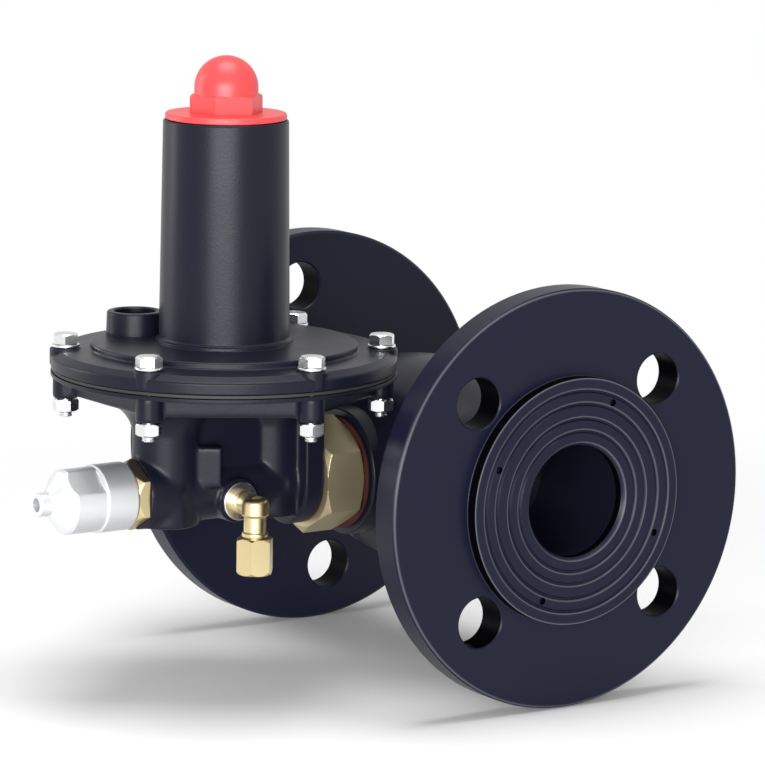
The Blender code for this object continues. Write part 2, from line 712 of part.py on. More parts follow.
def build_spindle(steel, nut_front):
    """Spindle from the disc nut to the reset thread, with the flange that the
    closing spring pushes and the collar that the pawl holds."""
    end = SPINDLE_END_DIAMETER / 2
    shaft = SPINDLE_DIAMETER / 2
    flange = SPRING_FLANGE_DIAMETER / 2
    collar = LATCH_COLLAR_DIAMETER / 2
    tail_end = RESET_BUSH_LEFT - SPINDLE_TAIL
    turned("spindle", [
        (0, tail_end),
        (end, tail_end),
        (end, tail_end + SPINDLE_TAIL_THREAD),
        (shaft, tail_end + SPINDLE_TAIL_THREAD),
        (shaft, LATCH_COLLAR_X),
        (collar, LATCH_COLLAR_X),
        (collar, LATCH_COLLAR_X + LATCH_COLLAR_WIDTH),
        (shaft, LATCH_COLLAR_X + LATCH_COLLAR_WIDTH),
        (shaft, SPRING_FLANGE_X - SPRING_FLANGE_THICKNESS),
        (flange, SPRING_FLANGE_X - SPRING_FLANGE_THICKNESS),
        (flange, SPRING_FLANGE_X),
        (end, SPRING_FLANGE_X),
        (end, nut_front + SEAT_GAP),
        (0, nut_front + SEAT_GAP),
    ], spindle_frame(), steel, 16)


def build_union(brass, bronze, rubber, fibre, steel):
    """Hexagonal brass union with a thread at each end, its fibre gasket, the
    guide bush and seal of the spindle, and the closing spring in its pocket."""
    flat = UNION_FLATS
    corner = UNION_FLATS / math.sqrt(3)
    chamfer = UNION_CHAMFER_DIAMETER / 2
    body_thread_end = UNION_RIGHT + UNION_BODY_THREAD_LENGTH
    housing_thread_end = UNION_LEFT - UNION_HOUSING_THREAD_LENGTH
    pocket_floor = UNION_RIGHT - SPRING_POCKET_DEPTH
    web_left = pocket_floor - UNION_WEB
    shaft_hole = SPINDLE_DIAMETER / 2 + RUNNING_GAP
    bush_seat = BUSH_SEAT_DIAMETER / 2
    turned("union_hex", [
        (UNION_BODY_THREAD / 2, UNION_RIGHT),
        (UNION_BODY_THREAD / 2, body_thread_end),
        (SPRING_POCKET_DIAMETER / 2, body_thread_end),
        (SPRING_POCKET_DIAMETER / 2, pocket_floor),
        (shaft_hole, pocket_floor),
        (shaft_hole, web_left),
        (bush_seat, web_left),
        (bush_seat, housing_thread_end),
        (UNION_HOUSING_THREAD / 2, housing_thread_end),
        (UNION_HOUSING_THREAD / 2, UNION_LEFT),
        hexagon(flat, UNION_LEFT, chamfer),
        hexagon(flat, UNION_LEFT + UNION_CHAMFER_LENGTH, corner),
        hexagon(flat, UNION_RIGHT - UNION_CHAMFER_LENGTH, corner),
        hexagon(flat, UNION_RIGHT, chamfer),
    ], spindle_frame(), brass)
    gasket_hole = UNION_BODY_THREAD / 2 + SEAT_GAP
    turned("union_gasket", ring(gasket_hole, UNION_GASKET_DIAMETER / 2, UNION_RIGHT + SEAT_GAP,
                                UNION_RIGHT + SEAT_GAP + UNION_GASKET_THICKNESS),
           spindle_frame(), fibre)
    seal_right = web_left - SEAT_GAP
    seal_left = seal_right - SPINDLE_SEAL_WIDTH
    turned("spindle_seal", ring(shaft_hole, bush_seat - SEAT_GAP, seal_left, seal_right),
           spindle_frame(), rubber, HIDDEN_SIDES)
    bush_right = seal_left - SEAT_GAP
    turned("guide_bush", ring(shaft_hole, bush_seat - SEAT_GAP, bush_right - BUSH_LENGTH, bush_right),
           spindle_frame(), bronze, HIDDEN_SIDES)
    spring_end = SPRING_FLANGE_X - SPRING_FLANGE_THICKNESS - SEAT_GAP
    coil_spring("closing_spring", CLOSING_SPRING_DIAMETER, CLOSING_WIRE, pocket_floor + SEAT_GAP,
                spring_end, CLOSING_TURNS, spindle_frame(), steel, 8, 4)


def trumpet_profile():
    """Flare of a housing end under the case: it leaves the post's wall and
    grows ever faster until it lies flat under the case wall."""
    start = HOUSING_END_RADIUS - FLARE_INSET
    points = [(0, FLARE_START - FLARE_INSET), (start, FLARE_START - FLARE_INSET)]
    top = CASE_WALL_BOTTOM + FLARE_INSET
    steps = 5
    for step in range(steps + 1):
        angle = math.pi / 2 * step / steps
        radius = start + (FLARE_RADIUS - start) * (1 - math.cos(angle)) ** 1.25
        points.append((radius, FLARE_START + (top - FLARE_START) * math.sin(angle)))
    points.append((0, top))
    return points


def stadium(left, right, radius, steps=8):
    """Outline with straight sides and half-round ends about two centres on X."""
    points = []
    for centre, turn in ((right, -math.pi / 2), (left, math.pi / 2)):
        for step in range(steps + 1):
            angle = turn + math.pi * step / steps
            points.append((centre + radius * math.cos(angle), radius * math.sin(angle)))
    return points


def arch(radius, height, steps=12):
    """Outline of a pad with a half-round foot and straight sides up to a height."""
    angles = [math.pi + math.pi * step / steps for step in range(steps + 1)]
    foot = [(radius * math.cos(angle), radius * math.sin(angle)) for angle in angles]
    return foot + [(radius, height), (-radius, height)]


def build_lower_case(finish):
    """One casting: the lower diaphragm bowl with its bolt bosses, and the trip
    housing under it with bosses for the reset bush, the union and the elbow."""
    lip_bottom = CASE_JOINT_HEIGHT - LOWER_LIP_THICKNESS
    lip_profile = rod(CASE_DIAMETER / 2, lip_bottom, CASE_JOINT_HEIGHT)
    lip = turned("lower_case", lip_profile, case_frame(), finish, CASE_SIDES)
    overlap = LOWER_LIP_THICKNESS / 2
    wall_top = CASE_JOINT_HEIGHT - overlap
    corners = circle_places(CASE_BOLT_RADIUS, CASE_BOLT_COUNT, CASE_BOLT_TURN)
    join(lip, extruded("tool", corners, CASE_WALL_BOTTOM, wall_top, case_frame()))
    for x, y in corners:
        origin = (CASE_X + x, MID_Y + y, LOWER_BOSS_BOTTOM)
        join(lip, bar("+Z", origin, LOWER_BOSS_RADIUS, wall_top - LOWER_BOSS_BOTTOM))
    inset = END_BOSS_PROUD + HOUSING_END_RADIUS
    end_places = (HOUSING_LEFT + inset, HOUSING_RIGHT - inset)
    inner_corners = circle_places(CASE_BOLT_RADIUS - FLARE_INSET, CASE_BOLT_COUNT, CASE_BOLT_TURN)
    for x in end_places:
        flare = turned("flare", trumpet_profile(), frame_on("+Z", (x, MID_Y, 0)), None, HIDDEN_SIDES)
        trim = extruded("tool", inner_corners, HOUSING_BOTTOM, CASE_JOINT_HEIGHT, case_frame())
        combine(flare, trim, "INTERSECT")
        join(lip, flare)
    outline = stadium(end_places[0], end_places[1], HOUSING_END_RADIUS)
    upright = frame_on("+Z", (0, MID_Y, 0))
    join(lip, extruded("tool", outline, HOUSING_BOTTOM, CASE_WALL_BOTTOM + overlap, upright))
    join(lip, bar("+X", (HOUSING_LEFT, MID_Y, SPINDLE_HEIGHT), END_BOSS_RADIUS, inset, SMALL_SIDES))
    right_end = (HOUSING_RIGHT + overlap, MID_Y, SPINDLE_HEIGHT)
    join(lip, bar("-X", right_end, END_BOSS_RADIUS, inset, SMALL_SIDES))
    join(lip, bar("+Y", (PORT_X, PORT_FACE_Y, PORT_HEIGHT), PORT_BOSS_RADIUS,
                  PORT_BOSS_PROUD + HOUSING_WALL / 2, HIDDEN_SIDES))
    pad = arch(UNION_PAD_RADIUS, CASE_WALL_BOTTOM + overlap - SPINDLE_HEIGHT)
    pad_left = HOUSING_RIGHT - UNION_PAD_THICKNESS
    join(lip, extruded("tool", pad, pad_left, HOUSING_RIGHT + overlap, spindle_frame()))
    relief_length = UNION_WIDTH + BOSS_REACH
    relief_start = (HOUSING_RIGHT, MID_Y, SPINDLE_HEIGHT)
    cut(lip, bar("+X", relief_start, UNION_RELIEF_RADIUS, relief_length, SMALL_SIDES))
    cut_lower_case(lip, corners)
    return lip


def cut_lower_case(lip, corners):
    """Bowl, mechanism pocket, bores and pin seats of the lower casting."""
    half_pocket = HOUSING_END_RADIUS - HOUSING_WALL
    above = CASE_JOINT_HEIGHT + FOLD_RISE
    stop = STOP_RING_DIAMETER / 2
    stop_top = LOWER_PLATE_BOTTOM - SEAT_GAP
    bowl = turned("bowl", [
        (0, BOWL_FLOOR),
        (stop - STOP_RING_WIDTH, BOWL_FLOOR),
        (stop - STOP_RING_WIDTH, stop_top),
        (stop, stop_top),
        (stop, BOWL_FLOOR),
        (BOWL_DIAMETER / 2, BOWL_FLOOR),
        (BOWL_DIAMETER / 2, above),
        (0, above),
    ], case_frame(), None, CASE_SIDES)
    cut(lip, bowl)
    pocket_left = HOUSING_LEFT + HOUSING_END_RADIUS
    pocket_right = HOUSING_RIGHT - HOUSING_END_RADIUS
    cut(lip, block((pocket_left, MID_Y - half_pocket, HOUSING_BOTTOM + HOUSING_FLOOR),
                   (pocket_right, MID_Y + half_pocket, above)))
    bore_length = HOUSING_END_RADIUS + HOUSING_WALL
    ends = (("+X", HOUSING_LEFT, RESET_BUSH_THREAD), ("-X", HOUSING_RIGHT, UNION_HOUSING_THREAD))
    for axis, x, thread in ends:
        start = x - math.copysign(SEAT_GAP, 1 if axis == "+X" else -1)
        cut(lip, bar(axis, (start, MID_Y, SPINDLE_HEIGHT), thread / 2 + SEAT_GAP, bore_length, SMALL_SIDES))
    port_depth = PORT_BOSS_PROUD + 2 * HOUSING_WALL
    cut(lip, bar("+Y", (PORT_X, PORT_FACE_Y - SEAT_GAP, PORT_HEIGHT), PORT_BORE_DIAMETER / 2, port_depth))
    for x, z in ((PAWL_PIVOT_X, PAWL_PIVOT_HEIGHT), (LEVER_PIVOT_X, LEVER_HEIGHT)):
        reach = half_pocket + PIN_SEAT + SEAT_GAP
        cut(lip, bar("+Y", (x, MID_Y - reach, z), PIN_DIAMETER / 2 + RUNNING_GAP, 2 * reach, 12))
    for x, y in corners:
        origin = (CASE_X + x, MID_Y + y, LOWER_BOSS_BOTTOM - BOLT_TAIL)
        cut(lip, bar("+Z", origin, CASE_BOLT_HOLE / 2, CASE_JOINT_HEIGHT, 12))


def build_upper_cover(finish):
    """Cover casting: bolted rim, stepped disc, vent boss and the spring tower."""
    bore = TOWER_BORE_DIAMETER / 2
    cavity = COVER_CAVITY_DIAMETER / 2
    roof_ease = 0.002
    cover = turned("upper_cover", [
        (cavity, COVER_BOTTOM),
        (CASE_DIAMETER / 2, COVER_BOTTOM),
        (CASE_DIAMETER / 2, COVER_BOTTOM + RIM_HEIGHT),
        (SHOULDER_DIAMETER / 2, SHOULDER_HEIGHT),
        (DISC_STEP_DIAMETER / 2, DISC_STEP_FOOT),
        (DISC_STEP_DIAMETER / 2, DISC_STEP_HEIGHT),
        (TOWER_RING_DIAMETER / 2, DISC_STEP_HEIGHT),
        (TOWER_RING_DIAMETER / 2, TOWER_RING_HEIGHT),
        (TOWER_FOOT_DIAMETER / 2, TOWER_RING_HEIGHT),
        (TOWER_TOP_DIAMETER / 2, TOWER_TOP),
        (bore, TOWER_TOP),
        (bore, COVER_ROOF + roof_ease),
        (bore + roof_ease, COVER_ROOF),
        (cavity - roof_ease, COVER_ROOF),
        (cavity, COVER_ROOF - roof_ease),
    ], case_frame(), finish, CASE_SIDES)
    boss_start = COVER_BOTTOM + RIM_HEIGHT / 8
    corners = circle_places(CASE_BOLT_RADIUS, CASE_BOLT_COUNT, CASE_BOLT_TURN)
    for x, y in corners:
        join(cover, bar("+Z", (CASE_X + x, MID_Y + y, boss_start), UPPER_BOSS_RADIUS,
                        UPPER_BOSS_TOP - boss_start))
    vent_x = CASE_X + VENT_DISTANCE * math.cos(VENT_TURN)
    vent_y = MID_Y + VENT_DISTANCE * math.sin(VENT_TURN)
    vent_foot = (COVER_ROOF + DISC_STEP_HEIGHT) / 2
    vent_height = VENT_BOSS_TOP - vent_foot
    join(cover, bar("+Z", (vent_x, vent_y, vent_foot), VENT_BOSS_RADIUS, vent_height, SMALL_SIDES))
    for x, y in corners:
        hole_start = (CASE_X + x, MID_Y + y, CASE_JOINT_HEIGHT)
        cut(cover, bar("+Z", hole_start, CASE_BOLT_HOLE / 2, UPPER_BOSS_TOP))
    pocket_start = (vent_x, vent_y, VENT_POCKET_FLOOR)
    cut(cover, bar("+Z", pocket_start, VENT_POCKET_RADIUS, VENT_BOSS_TOP, SMALL_SIDES))
    cut(cover, bar("+Z", (vent_x, vent_y, CASE_JOINT_HEIGHT), VENT_HOLE_RADIUS, VENT_BOSS_TOP, 12))
    return (vent_x, vent_y)


def build_vent_insert(place, finish):
    """Perforated plug that keeps dirt out of the vent."""
    low = VENT_POCKET_FLOOR + SEAT_GAP
    x, y = place
    hole = VENT_HOLE_RADIUS / 2
    turned("vent_insert", ring(hole, VENT_POCKET_RADIUS - SEAT_GAP, low, low + VENT_INSERT_THICKNESS),
           frame_on("+Z", (x, y, 0)), finish, 16)


def build_case_fasteners(zinc):
    """Hexagon bolts down through both castings, with washers and nuts."""
    places = circle_places(CASE_BOLT_RADIUS, CASE_BOLT_COUNT, CASE_BOLT_TURN)
    washer_low = UPPER_BOSS_TOP + SEAT_GAP
    head_low = washer_low + WASHER_THICKNESS + SEAT_GAP
    head_top = head_low + BOLT_HEAD_HEIGHT
    nut_top = LOWER_BOSS_BOTTOM - SEAT_GAP
    nut_low = nut_top - NUT_HEIGHT
    shank = CASE_BOLT_DIAMETER / 2 - SEAT_GAP / 2
    crown = BOLT_HEAD_FLATS * 0.48
    edge = BOLT_HEAD_FLATS * 0.08
    hole = CASE_BOLT_HOLE / 2
    bolt = [
        (0, nut_low - BOLT_TAIL),
        (shank, nut_low - BOLT_TAIL),
        (shank, head_low),
        hexagon(BOLT_HEAD_FLATS, head_low),
        hexagon(BOLT_HEAD_FLATS, head_top - edge),
        (crown, head_top),
        (0, head_top),
    ]
    washer = ring(hole, WASHER_DIAMETER / 2, washer_low, washer_low + WASHER_THICKNESS)
    nut = [
        (hole, nut_low),
        (crown, nut_low),
        hexagon(NUT_FLATS, nut_low + edge),
        hexagon(NUT_FLATS, nut_top),
        (hole, nut_top),
    ]
    for name, profile in (("case_bolt", bolt), ("case_washer", washer), ("case_nut", nut)):
        place = frame_on("+Z", (CASE_X + places[0][0], MID_Y + places[0][1], 0))
        first = turned(name + "_1", profile, place, zinc, 12)
        for number, (x, y) in enumerate(places[1:], 2):
            copy = bpy.data.objects.new(name + "_" + str(number), first.data)
            bpy.context.scene.collection.objects.link(copy)
            copy.matrix_world = frame_on("+Z", (CASE_X + x, MID_Y + y, 0))


def build_diaphragm(rubber):
    """Rubber disc clamped between the castings, with one rolled fold."""
    thick = DIAPHRAGM_THICKNESS
    inner = FOLD_INNER_DIAMETER / 2
    outer = FOLD_OUTER_DIAMETER / 2
    steps = 4
    fold = []
    for step in range(steps + 1):
        share = step / steps
        rise = FOLD_RISE * math.sin(math.pi * share) ** 2
        fold.append((inner + (outer - inner) * share, DIAPHRAGM_BOTTOM + rise))
    hole = STEM_DIAMETER / 2 + RUNNING_GAP
    under = [(hole, DIAPHRAGM_BOTTOM)] + fold + [(DIAPHRAGM_DIAMETER / 2, DIAPHRAGM_BOTTOM)]
    over = [(radius, height + thick) for radius, height in reversed(under)]
    diaphragm = turned("diaphragm", under + over, case_frame(), rubber, SMALL_SIDES)
    for x, y in circle_places(CASE_BOLT_RADIUS, CASE_BOLT_COUNT, CASE_BOLT_TURN):
        origin = (CASE_X + x, MID_Y + y, DIAPHRAGM_BOTTOM - thick)
        cut(diaphragm, bar("+Z", origin, CASE_BOLT_HOLE / 2, 3 * thick, 8))


def build_stem(steel, zinc):
    """Diaphragm stem with its plates, nut and spring seat. Two collars low on
    the stem take the forked end of the trip lever between them."""
    stem = STEM_DIAMETER / 2
    hole = stem + RUNNING_GAP
    collar = STEM_COLLAR_DIAMETER / 2
    flange_top = LOWER_PLATE_BOTTOM - SEAT_GAP
    lever_low = LEVER_HEIGHT - LEVER_THICKNESS / 2 - STEM_COLLAR_GAP
    lever_high = LEVER_HEIGHT + LEVER_THICKNESS / 2 + STEM_COLLAR_GAP
    top = SPRING_SEAT_BOTTOM + STEM_TOP_LENGTH
    turned("diaphragm_stem", [
        (0, lever_low - STEM_COLLAR_THICKNESS),
        (collar, lever_low - STEM_COLLAR_THICKNESS),
        (collar, lever_low),
        (stem, lever_low),
        (stem, lever_high),
        (collar, lever_high),
        (collar, lever_high + STEM_COLLAR_THICKNESS),
        (stem, lever_high + STEM_COLLAR_THICKNESS),
        (stem, flange_top - STEM_FLANGE_THICKNESS),
        (STEM_FLANGE_DIAMETER / 2, flange_top - STEM_FLANGE_THICKNESS),
        (STEM_FLANGE_DIAMETER / 2, flange_top),
        (stem, flange_top),
        (stem, top),
        (0, top),
    ], case_frame(), steel, 16)
    turned("lower_plate", ring(hole, LOWER_PLATE_DIAMETER / 2, LOWER_PLATE_BOTTOM, LOWER_PLATE_TOP),
           case_frame(), zinc)
    upper = UPPER_PLATE_DIAMETER / 2
    rim = PLATE_THICKNESS
    turned("upper_plate", [
        (hole, UPPER_PLATE_BOTTOM),
        (upper, UPPER_PLATE_BOTTOM),
        (upper, UPPER_PLATE_TOP + UPPER_PLATE_RIM),
        (upper - rim, UPPER_PLATE_TOP + UPPER_PLATE_RIM),
        (upper - rim, UPPER_PLATE_TOP),
        (hole, UPPER_PLATE_TOP),
    ], case_frame(), zinc)
    turned("stem_nut", [
        (hole, SPRING_SEAT_BOTTOM),
        hexagon(STEM_NUT_FLATS, SPRING_SEAT_BOTTOM),
        hexagon(STEM_NUT_FLATS, SPRING_SEAT_BOTTOM + STEM_NUT_HEIGHT),
        (hole, SPRING_SEAT_BOTTOM + STEM_NUT_HEIGHT),
    ], case_frame(), zinc, 12)
    seat_top = SPRING_SEAT_BOTTOM + SPRING_SEAT_THICKNESS
    hub = SPRING_HUB_DIAMETER / 2
    turned("spring_seat", [
        (SPRING_SEAT_HOLE / 2, SPRING_SEAT_BOTTOM),
        (SPRING_SEAT_DIAMETER / 2, SPRING_SEAT_BOTTOM),
        (SPRING_SEAT_DIAMETER / 2, seat_top),
        (hub, seat_top),
        (hub, seat_top + SPRING_HUB_HEIGHT),
        (hub - SPRING_HUB_WALL, seat_top + SPRING_HUB_HEIGHT),
        (hub - SPRING_HUB_WALL, seat_top),
        (SPRING_SEAT_HOLE / 2, seat_top),
    ], case_frame(), zinc, 20)


def build_tower_springs(steel):
    """Over-pressure spring with the lighter under-pressure spring inside it."""
    coil_spring("setting_spring", SETTING_SPRING_DIAMETER, SETTING_WIRE, SPRING_FOOT,
                ADJUSTER_HEIGHT - SEAT_GAP, SETTING_TURNS, case_frame(), steel, 9, 4)
    coil_spring("min_spring", MIN_SPRING_DIAMETER, MIN_WIRE, SPRING_FOOT,
                ADJUSTER_HEIGHT - MIN_ADJUSTER_DROP - SEAT_GAP, MIN_TURNS, case_frame(), steel, 8, 4)


def build_adjusters(brass, steel):
    """Ring nut for the outer spring and the plug in it for the inner spring,
    both with a key slot across the top."""
    outer = TOWER_BORE_DIAMETER / 2 - RUNNING_GAP
    inner = MIN_ADJUSTER_DIAMETER / 2 + RUNNING_GAP
    top = ADJUSTER_HEIGHT + ADJUSTER_THICKNESS
    nut_profile = ring(inner, outer, ADJUSTER_HEIGHT, top)
    ring_nut = turned("max_adjuster", nut_profile, case_frame(), brass, SMALL_SIDES)
    half_slot = KEY_SLOT_WIDTH / 2
    slot_low = top - KEY_SLOT_DEPTH
    cut(ring_nut, block((CASE_X - 2 * outer, MID_Y - half_slot, slot_low),
                        (CASE_X + 2 * outer, MID_Y + half_slot, top + KEY_SLOT_DEPTH)))
    plug_low = ADJUSTER_HEIGHT - MIN_ADJUSTER_DROP
    plug_top = top - MIN_ADJUSTER_DROP
    plug_profile = rod(MIN_ADJUSTER_DIAMETER / 2, plug_low, plug_top)
    plug = turned("min_adjuster", plug_profile, case_frame(), steel, HIDDEN_SIDES)
    cut(plug, block((CASE_X - outer, MID_Y - half_slot, plug_top - KEY_SLOT_DEPTH),
                    (CASE_X + outer, MID_Y + half_slot, plug_top + KEY_SLOT_DEPTH)))


def build_trip_lever(steel):
    """Forked lever on its pin: the stem's collars move it up and down."""
    eye = PIN_DIAMETER / 2 + HINGE_GAP + HUB_WALL
    half = LEVER_WIDTH / 2
    place = Matrix.Translation(Vector((LEVER_PIVOT_X, MID_Y, LEVER_HEIGHT)))
    lever = turned("trip_lever", rod(eye, -half, half), place @ frame_on("+Y", (0, 0, 0)), steel, 16)
    arm = extruded("tool", [(-LEVER_REACH - LEVER_SLOT / 2, -half), (0, -half), (0, half),
                            (-LEVER_REACH - LEVER_SLOT / 2, half)],
                   -LEVER_THICKNESS / 2, LEVER_THICKNESS / 2, place)
    join(lever, arm)
    slot_end = LEVER_PIVOT_OFFSET - LEVER_SLOT / 2
    slot = extruded("tool", [(-3 * LEVER_REACH, -LEVER_SLOT / 2), (-slot_end, -LEVER_SLOT / 2),
                             (-slot_end, LEVER_SLOT / 2), (-3 * LEVER_REACH, LEVER_SLOT / 2)],
                    -LEVER_THICKNESS, LEVER_THICKNESS, place)
    cut(lever, slot)
    cut(lever, bar("+Y", (LEVER_PIVOT_X, MID_Y - LEVER_WIDTH, LEVER_HEIGHT), PIN_DIAMETER / 2 + HINGE_GAP,
                   2 * LEVER_WIDTH, 12))


def pawl_outline():
    """Side view of the pawl while it holds the spindle, about its pivot: the arm
    runs out over the spindle, and the nose drops behind the latch collar."""
    shaft_top = SPINDLE_HEIGHT + LATCH_COLLAR_DIAMETER / 2 - PAWL_PIVOT_HEIGHT
    nose_low = shaft_top - PAWL_BITE
    collar_held = LATCH_COLLAR_X + LATCH_COLLAR_WIDTH - SPINDLE_STROKE - PAWL_PIVOT_X
    nose_start = collar_held + SEAT_GAP
    nose_end = nose_start + PAWL_NOSE_LENGTH
    arm_low = shaft_top + PAWL_NOSE_LIFT
    arm_high = arm_low + PAWL_ARM_HEIGHT
    return [
        (-PAWL_TAIL, -PAWL_ARM_HEIGHT / 2),
        (nose_start / 3, arm_low),
        (nose_start, arm_low),
        (nose_start, nose_low),
        (nose_end - PAWL_NOSE_LIFT, nose_low),
        (nose_end, nose_low + PAWL_NOSE_LIFT),
        (nose_end, arm_high),
        (nose_start / 3, PAWL_ARM_HEIGHT / 2),
        (-PAWL_TAIL, PAWL_ARM_HEIGHT / 2),
    ]


def build_latch_pawl(steel):
    """Pawl on its pin, stored lifted clear of the latch collar."""
    half = PAWL_WIDTH / 2
    lifted = Matrix.Translation(Vector((PAWL_PIVOT_X, MID_Y, PAWL_PIVOT_HEIGHT)))
    lifted = lifted @ Matrix.Rotation(-PAWL_ENGAGE_ANGLE, 4, "Y")
    eye = PIN_DIAMETER / 2 + HINGE_GAP + HUB_WALL
    pawl = turned("latch_pawl", rod(eye, -half, half), lifted @ frame_on("+Y", (0, 0, 0)), steel, 16)
    # The outline lies in the local XZ plane, so the prism is laid on its side
    side = extruded("tool", [(x, -z) for x, z in pawl_outline()], -half, half,
                    lifted @ Matrix.Rotation(-math.pi / 2, 4, "X"))
    join(pawl, side)
    hole = bar("+Y", (0, 0, 0), PIN_DIAMETER / 2 + HINGE_GAP, 4 * half, 12)
    hole.matrix_world = lifted @ Matrix.Translation(Vector((0, -2 * half, 0))) @ frame_on("+Y", (0, 0, 0))
    cut(pawl, hole)


def build_pins(steel):
    """Pins of the trip lever and the pawl, seated in the housing walls."""
    half = HOUSING_END_RADIUS - HOUSING_WALL + PIN_SEAT
    pivots = (("pawl_pin", PAWL_PIVOT_X, PAWL_PIVOT_HEIGHT), ("lever_pin", LEVER_PIVOT_X, LEVER_HEIGHT))
    for name, x, z in pivots:
        turned(name, rod(PIN_DIAMETER / 2, -half, half), frame_on("+Y", (x, MID_Y, z)), steel, 12)


def build_reset_bush(brass):
    """Brass bush in the housing end, with a spigot that the cap screws onto."""
    corner = RESET_BUSH_FLATS / math.sqrt(3)
    hole = SPINDLE_DIAMETER / 2 + RUNNING_GAP
    turned("reset_bush", [
        (hole, RESET_BUSH_LEFT - RESET_SPIGOT_LENGTH),
        (RESET_SPIGOT_DIAMETER / 2, RESET_BUSH_LEFT - RESET_SPIGOT_LENGTH),
        (RESET_SPIGOT_DIAMETER / 2, RESET_BUSH_LEFT),
        hexagon(RESET_BUSH_FLATS, RESET_BUSH_LEFT, corner),
        hexagon(RESET_BUSH_FLATS, RESET_BUSH_RIGHT, corner),
        (RESET_BUSH_THREAD / 2, RESET_BUSH_RIGHT),
        (RESET_BUSH_THREAD / 2, RESET_BUSH_RIGHT + RESET_BUSH_THREAD_LENGTH),
        (hole, RESET_BUSH_RIGHT + RESET_BUSH_THREAD_LENGTH),
    ], spindle_frame(), brass)


def build_reset_cap(aluminium):
    """Turned cap over the spindle end: round collar, two wrench flats, cone and
    a drilled tip. It is hollow behind the tip."""
    outer = RESET_CAP_DIAMETER / 2
    chamfer = RESET_CAP_CHAMFER
    tip = RESET_CAP_TIP_DIAMETER / 2
    collar_left = RESET_CAP_RIGHT - RESET_CAP_COLLAR
    shoulder_left = collar_left - RESET_CAP_BARREL - RESET_CAP_SHOULDER
    tip_foot = RESET_CAP_LEFT + RESET_CAP_TIP_LENGTH
    flat = RESET_CAP_FLATS / 2
    thread = RESET_SPIGOT_DIAMETER / 2 + RUNNING_GAP
    thread_end = RESET_BUSH_LEFT - RESET_SPIGOT_LENGTH - RUNNING_GAP
    chamber = RESET_CAP_CHAMBER / 2
    tip_bore = RESET_CAP_TIP_BORE / 2
    cap = turned("reset_cap", [
        (0, RESET_CAP_LEFT + RESET_CAP_TIP_BORE_DEPTH),
        (tip_bore, RESET_CAP_LEFT + RESET_CAP_TIP_BORE_DEPTH),
        (tip_bore, RESET_CAP_LEFT),
        (tip - chamfer / 2, RESET_CAP_LEFT),
        (tip, RESET_CAP_LEFT + chamfer / 2),
        (tip, tip_foot),
        (outer - chamfer, shoulder_left),
        (outer, shoulder_left + chamfer),
        (outer, RESET_CAP_RIGHT - chamfer),
        (outer - chamfer, RESET_CAP_RIGHT),
        (thread, RESET_CAP_RIGHT),
        (thread, thread_end),
        (chamber, thread_end),
        (chamber, RESET_CAP_LEFT + RESET_CAP_CHAMBER_END),
        (0, RESET_CAP_LEFT + RESET_CAP_CHAMBER_END),
    ], spindle_frame(), aluminium, SMALL_SIDES)
    for near, far in ((flat, 2 * outer), (-2 * outer, -flat)):
        outline = [(near, -outer), (far, -outer), (far, outer), (near, outer)]
        place = spindle_frame(RESET_FLATS_TURN)
        cut(cap, extruded("tool", outline, tip_foot, collar_left, place))


def build_red_cap(red):
    """Moulded sealing cap: spigot into the tower, disc, hexagon and dome."""
    seat = TOWER_TOP + SEAT_GAP
    disc_top = seat + RED_DISC_THICKNESS
    hex_top = disc_top + RED_HEX_HEIGHT
    centre = disc_top + RED_DOME_CENTRE
    dome = RED_HEX_FLATS / 2
    corner = RED_HEX_FLATS / math.sqrt(3)
    hollow = dome - RED_DOME_WALL
    spigot = TOWER_BORE_DIAMETER / 2 - RUNNING_GAP
    ease = 0.0005
    steps = 4
    outside = []
    inside = []
    for step in range(steps + 1):
        angle = math.pi / 2 * step / steps
        outside.append((dome * math.sin(angle), centre + dome * math.cos(angle)))
        inside.append((hollow * math.sin(angle), centre + hollow * math.cos(angle)))
    outside[0] = (0, centre + dome)
    inside[0] = (0, centre + hollow)
    profile = outside + [
        (dome, hex_top),
        hexagon(RED_HEX_FLATS, hex_top - ease * 2, corner),
        hexagon(RED_HEX_FLATS, disc_top, corner),
        (RED_DISC_DIAMETER / 2 - ease, disc_top),
        (RED_DISC_DIAMETER / 2, disc_top - ease),
        (RED_DISC_DIAMETER / 2, seat),
        (spigot, seat),
        (spigot, seat - RED_SPIGOT_LENGTH),
        (spigot - RED_SPIGOT_WALL, seat - RED_SPIGOT_LENGTH),
        (spigot - RED_SPIGOT_WALL, seat),
        (hollow, seat),
    ] + list(reversed(inside))
    turned("red_cap", profile, case_frame(), red, SMALL_SIDES)


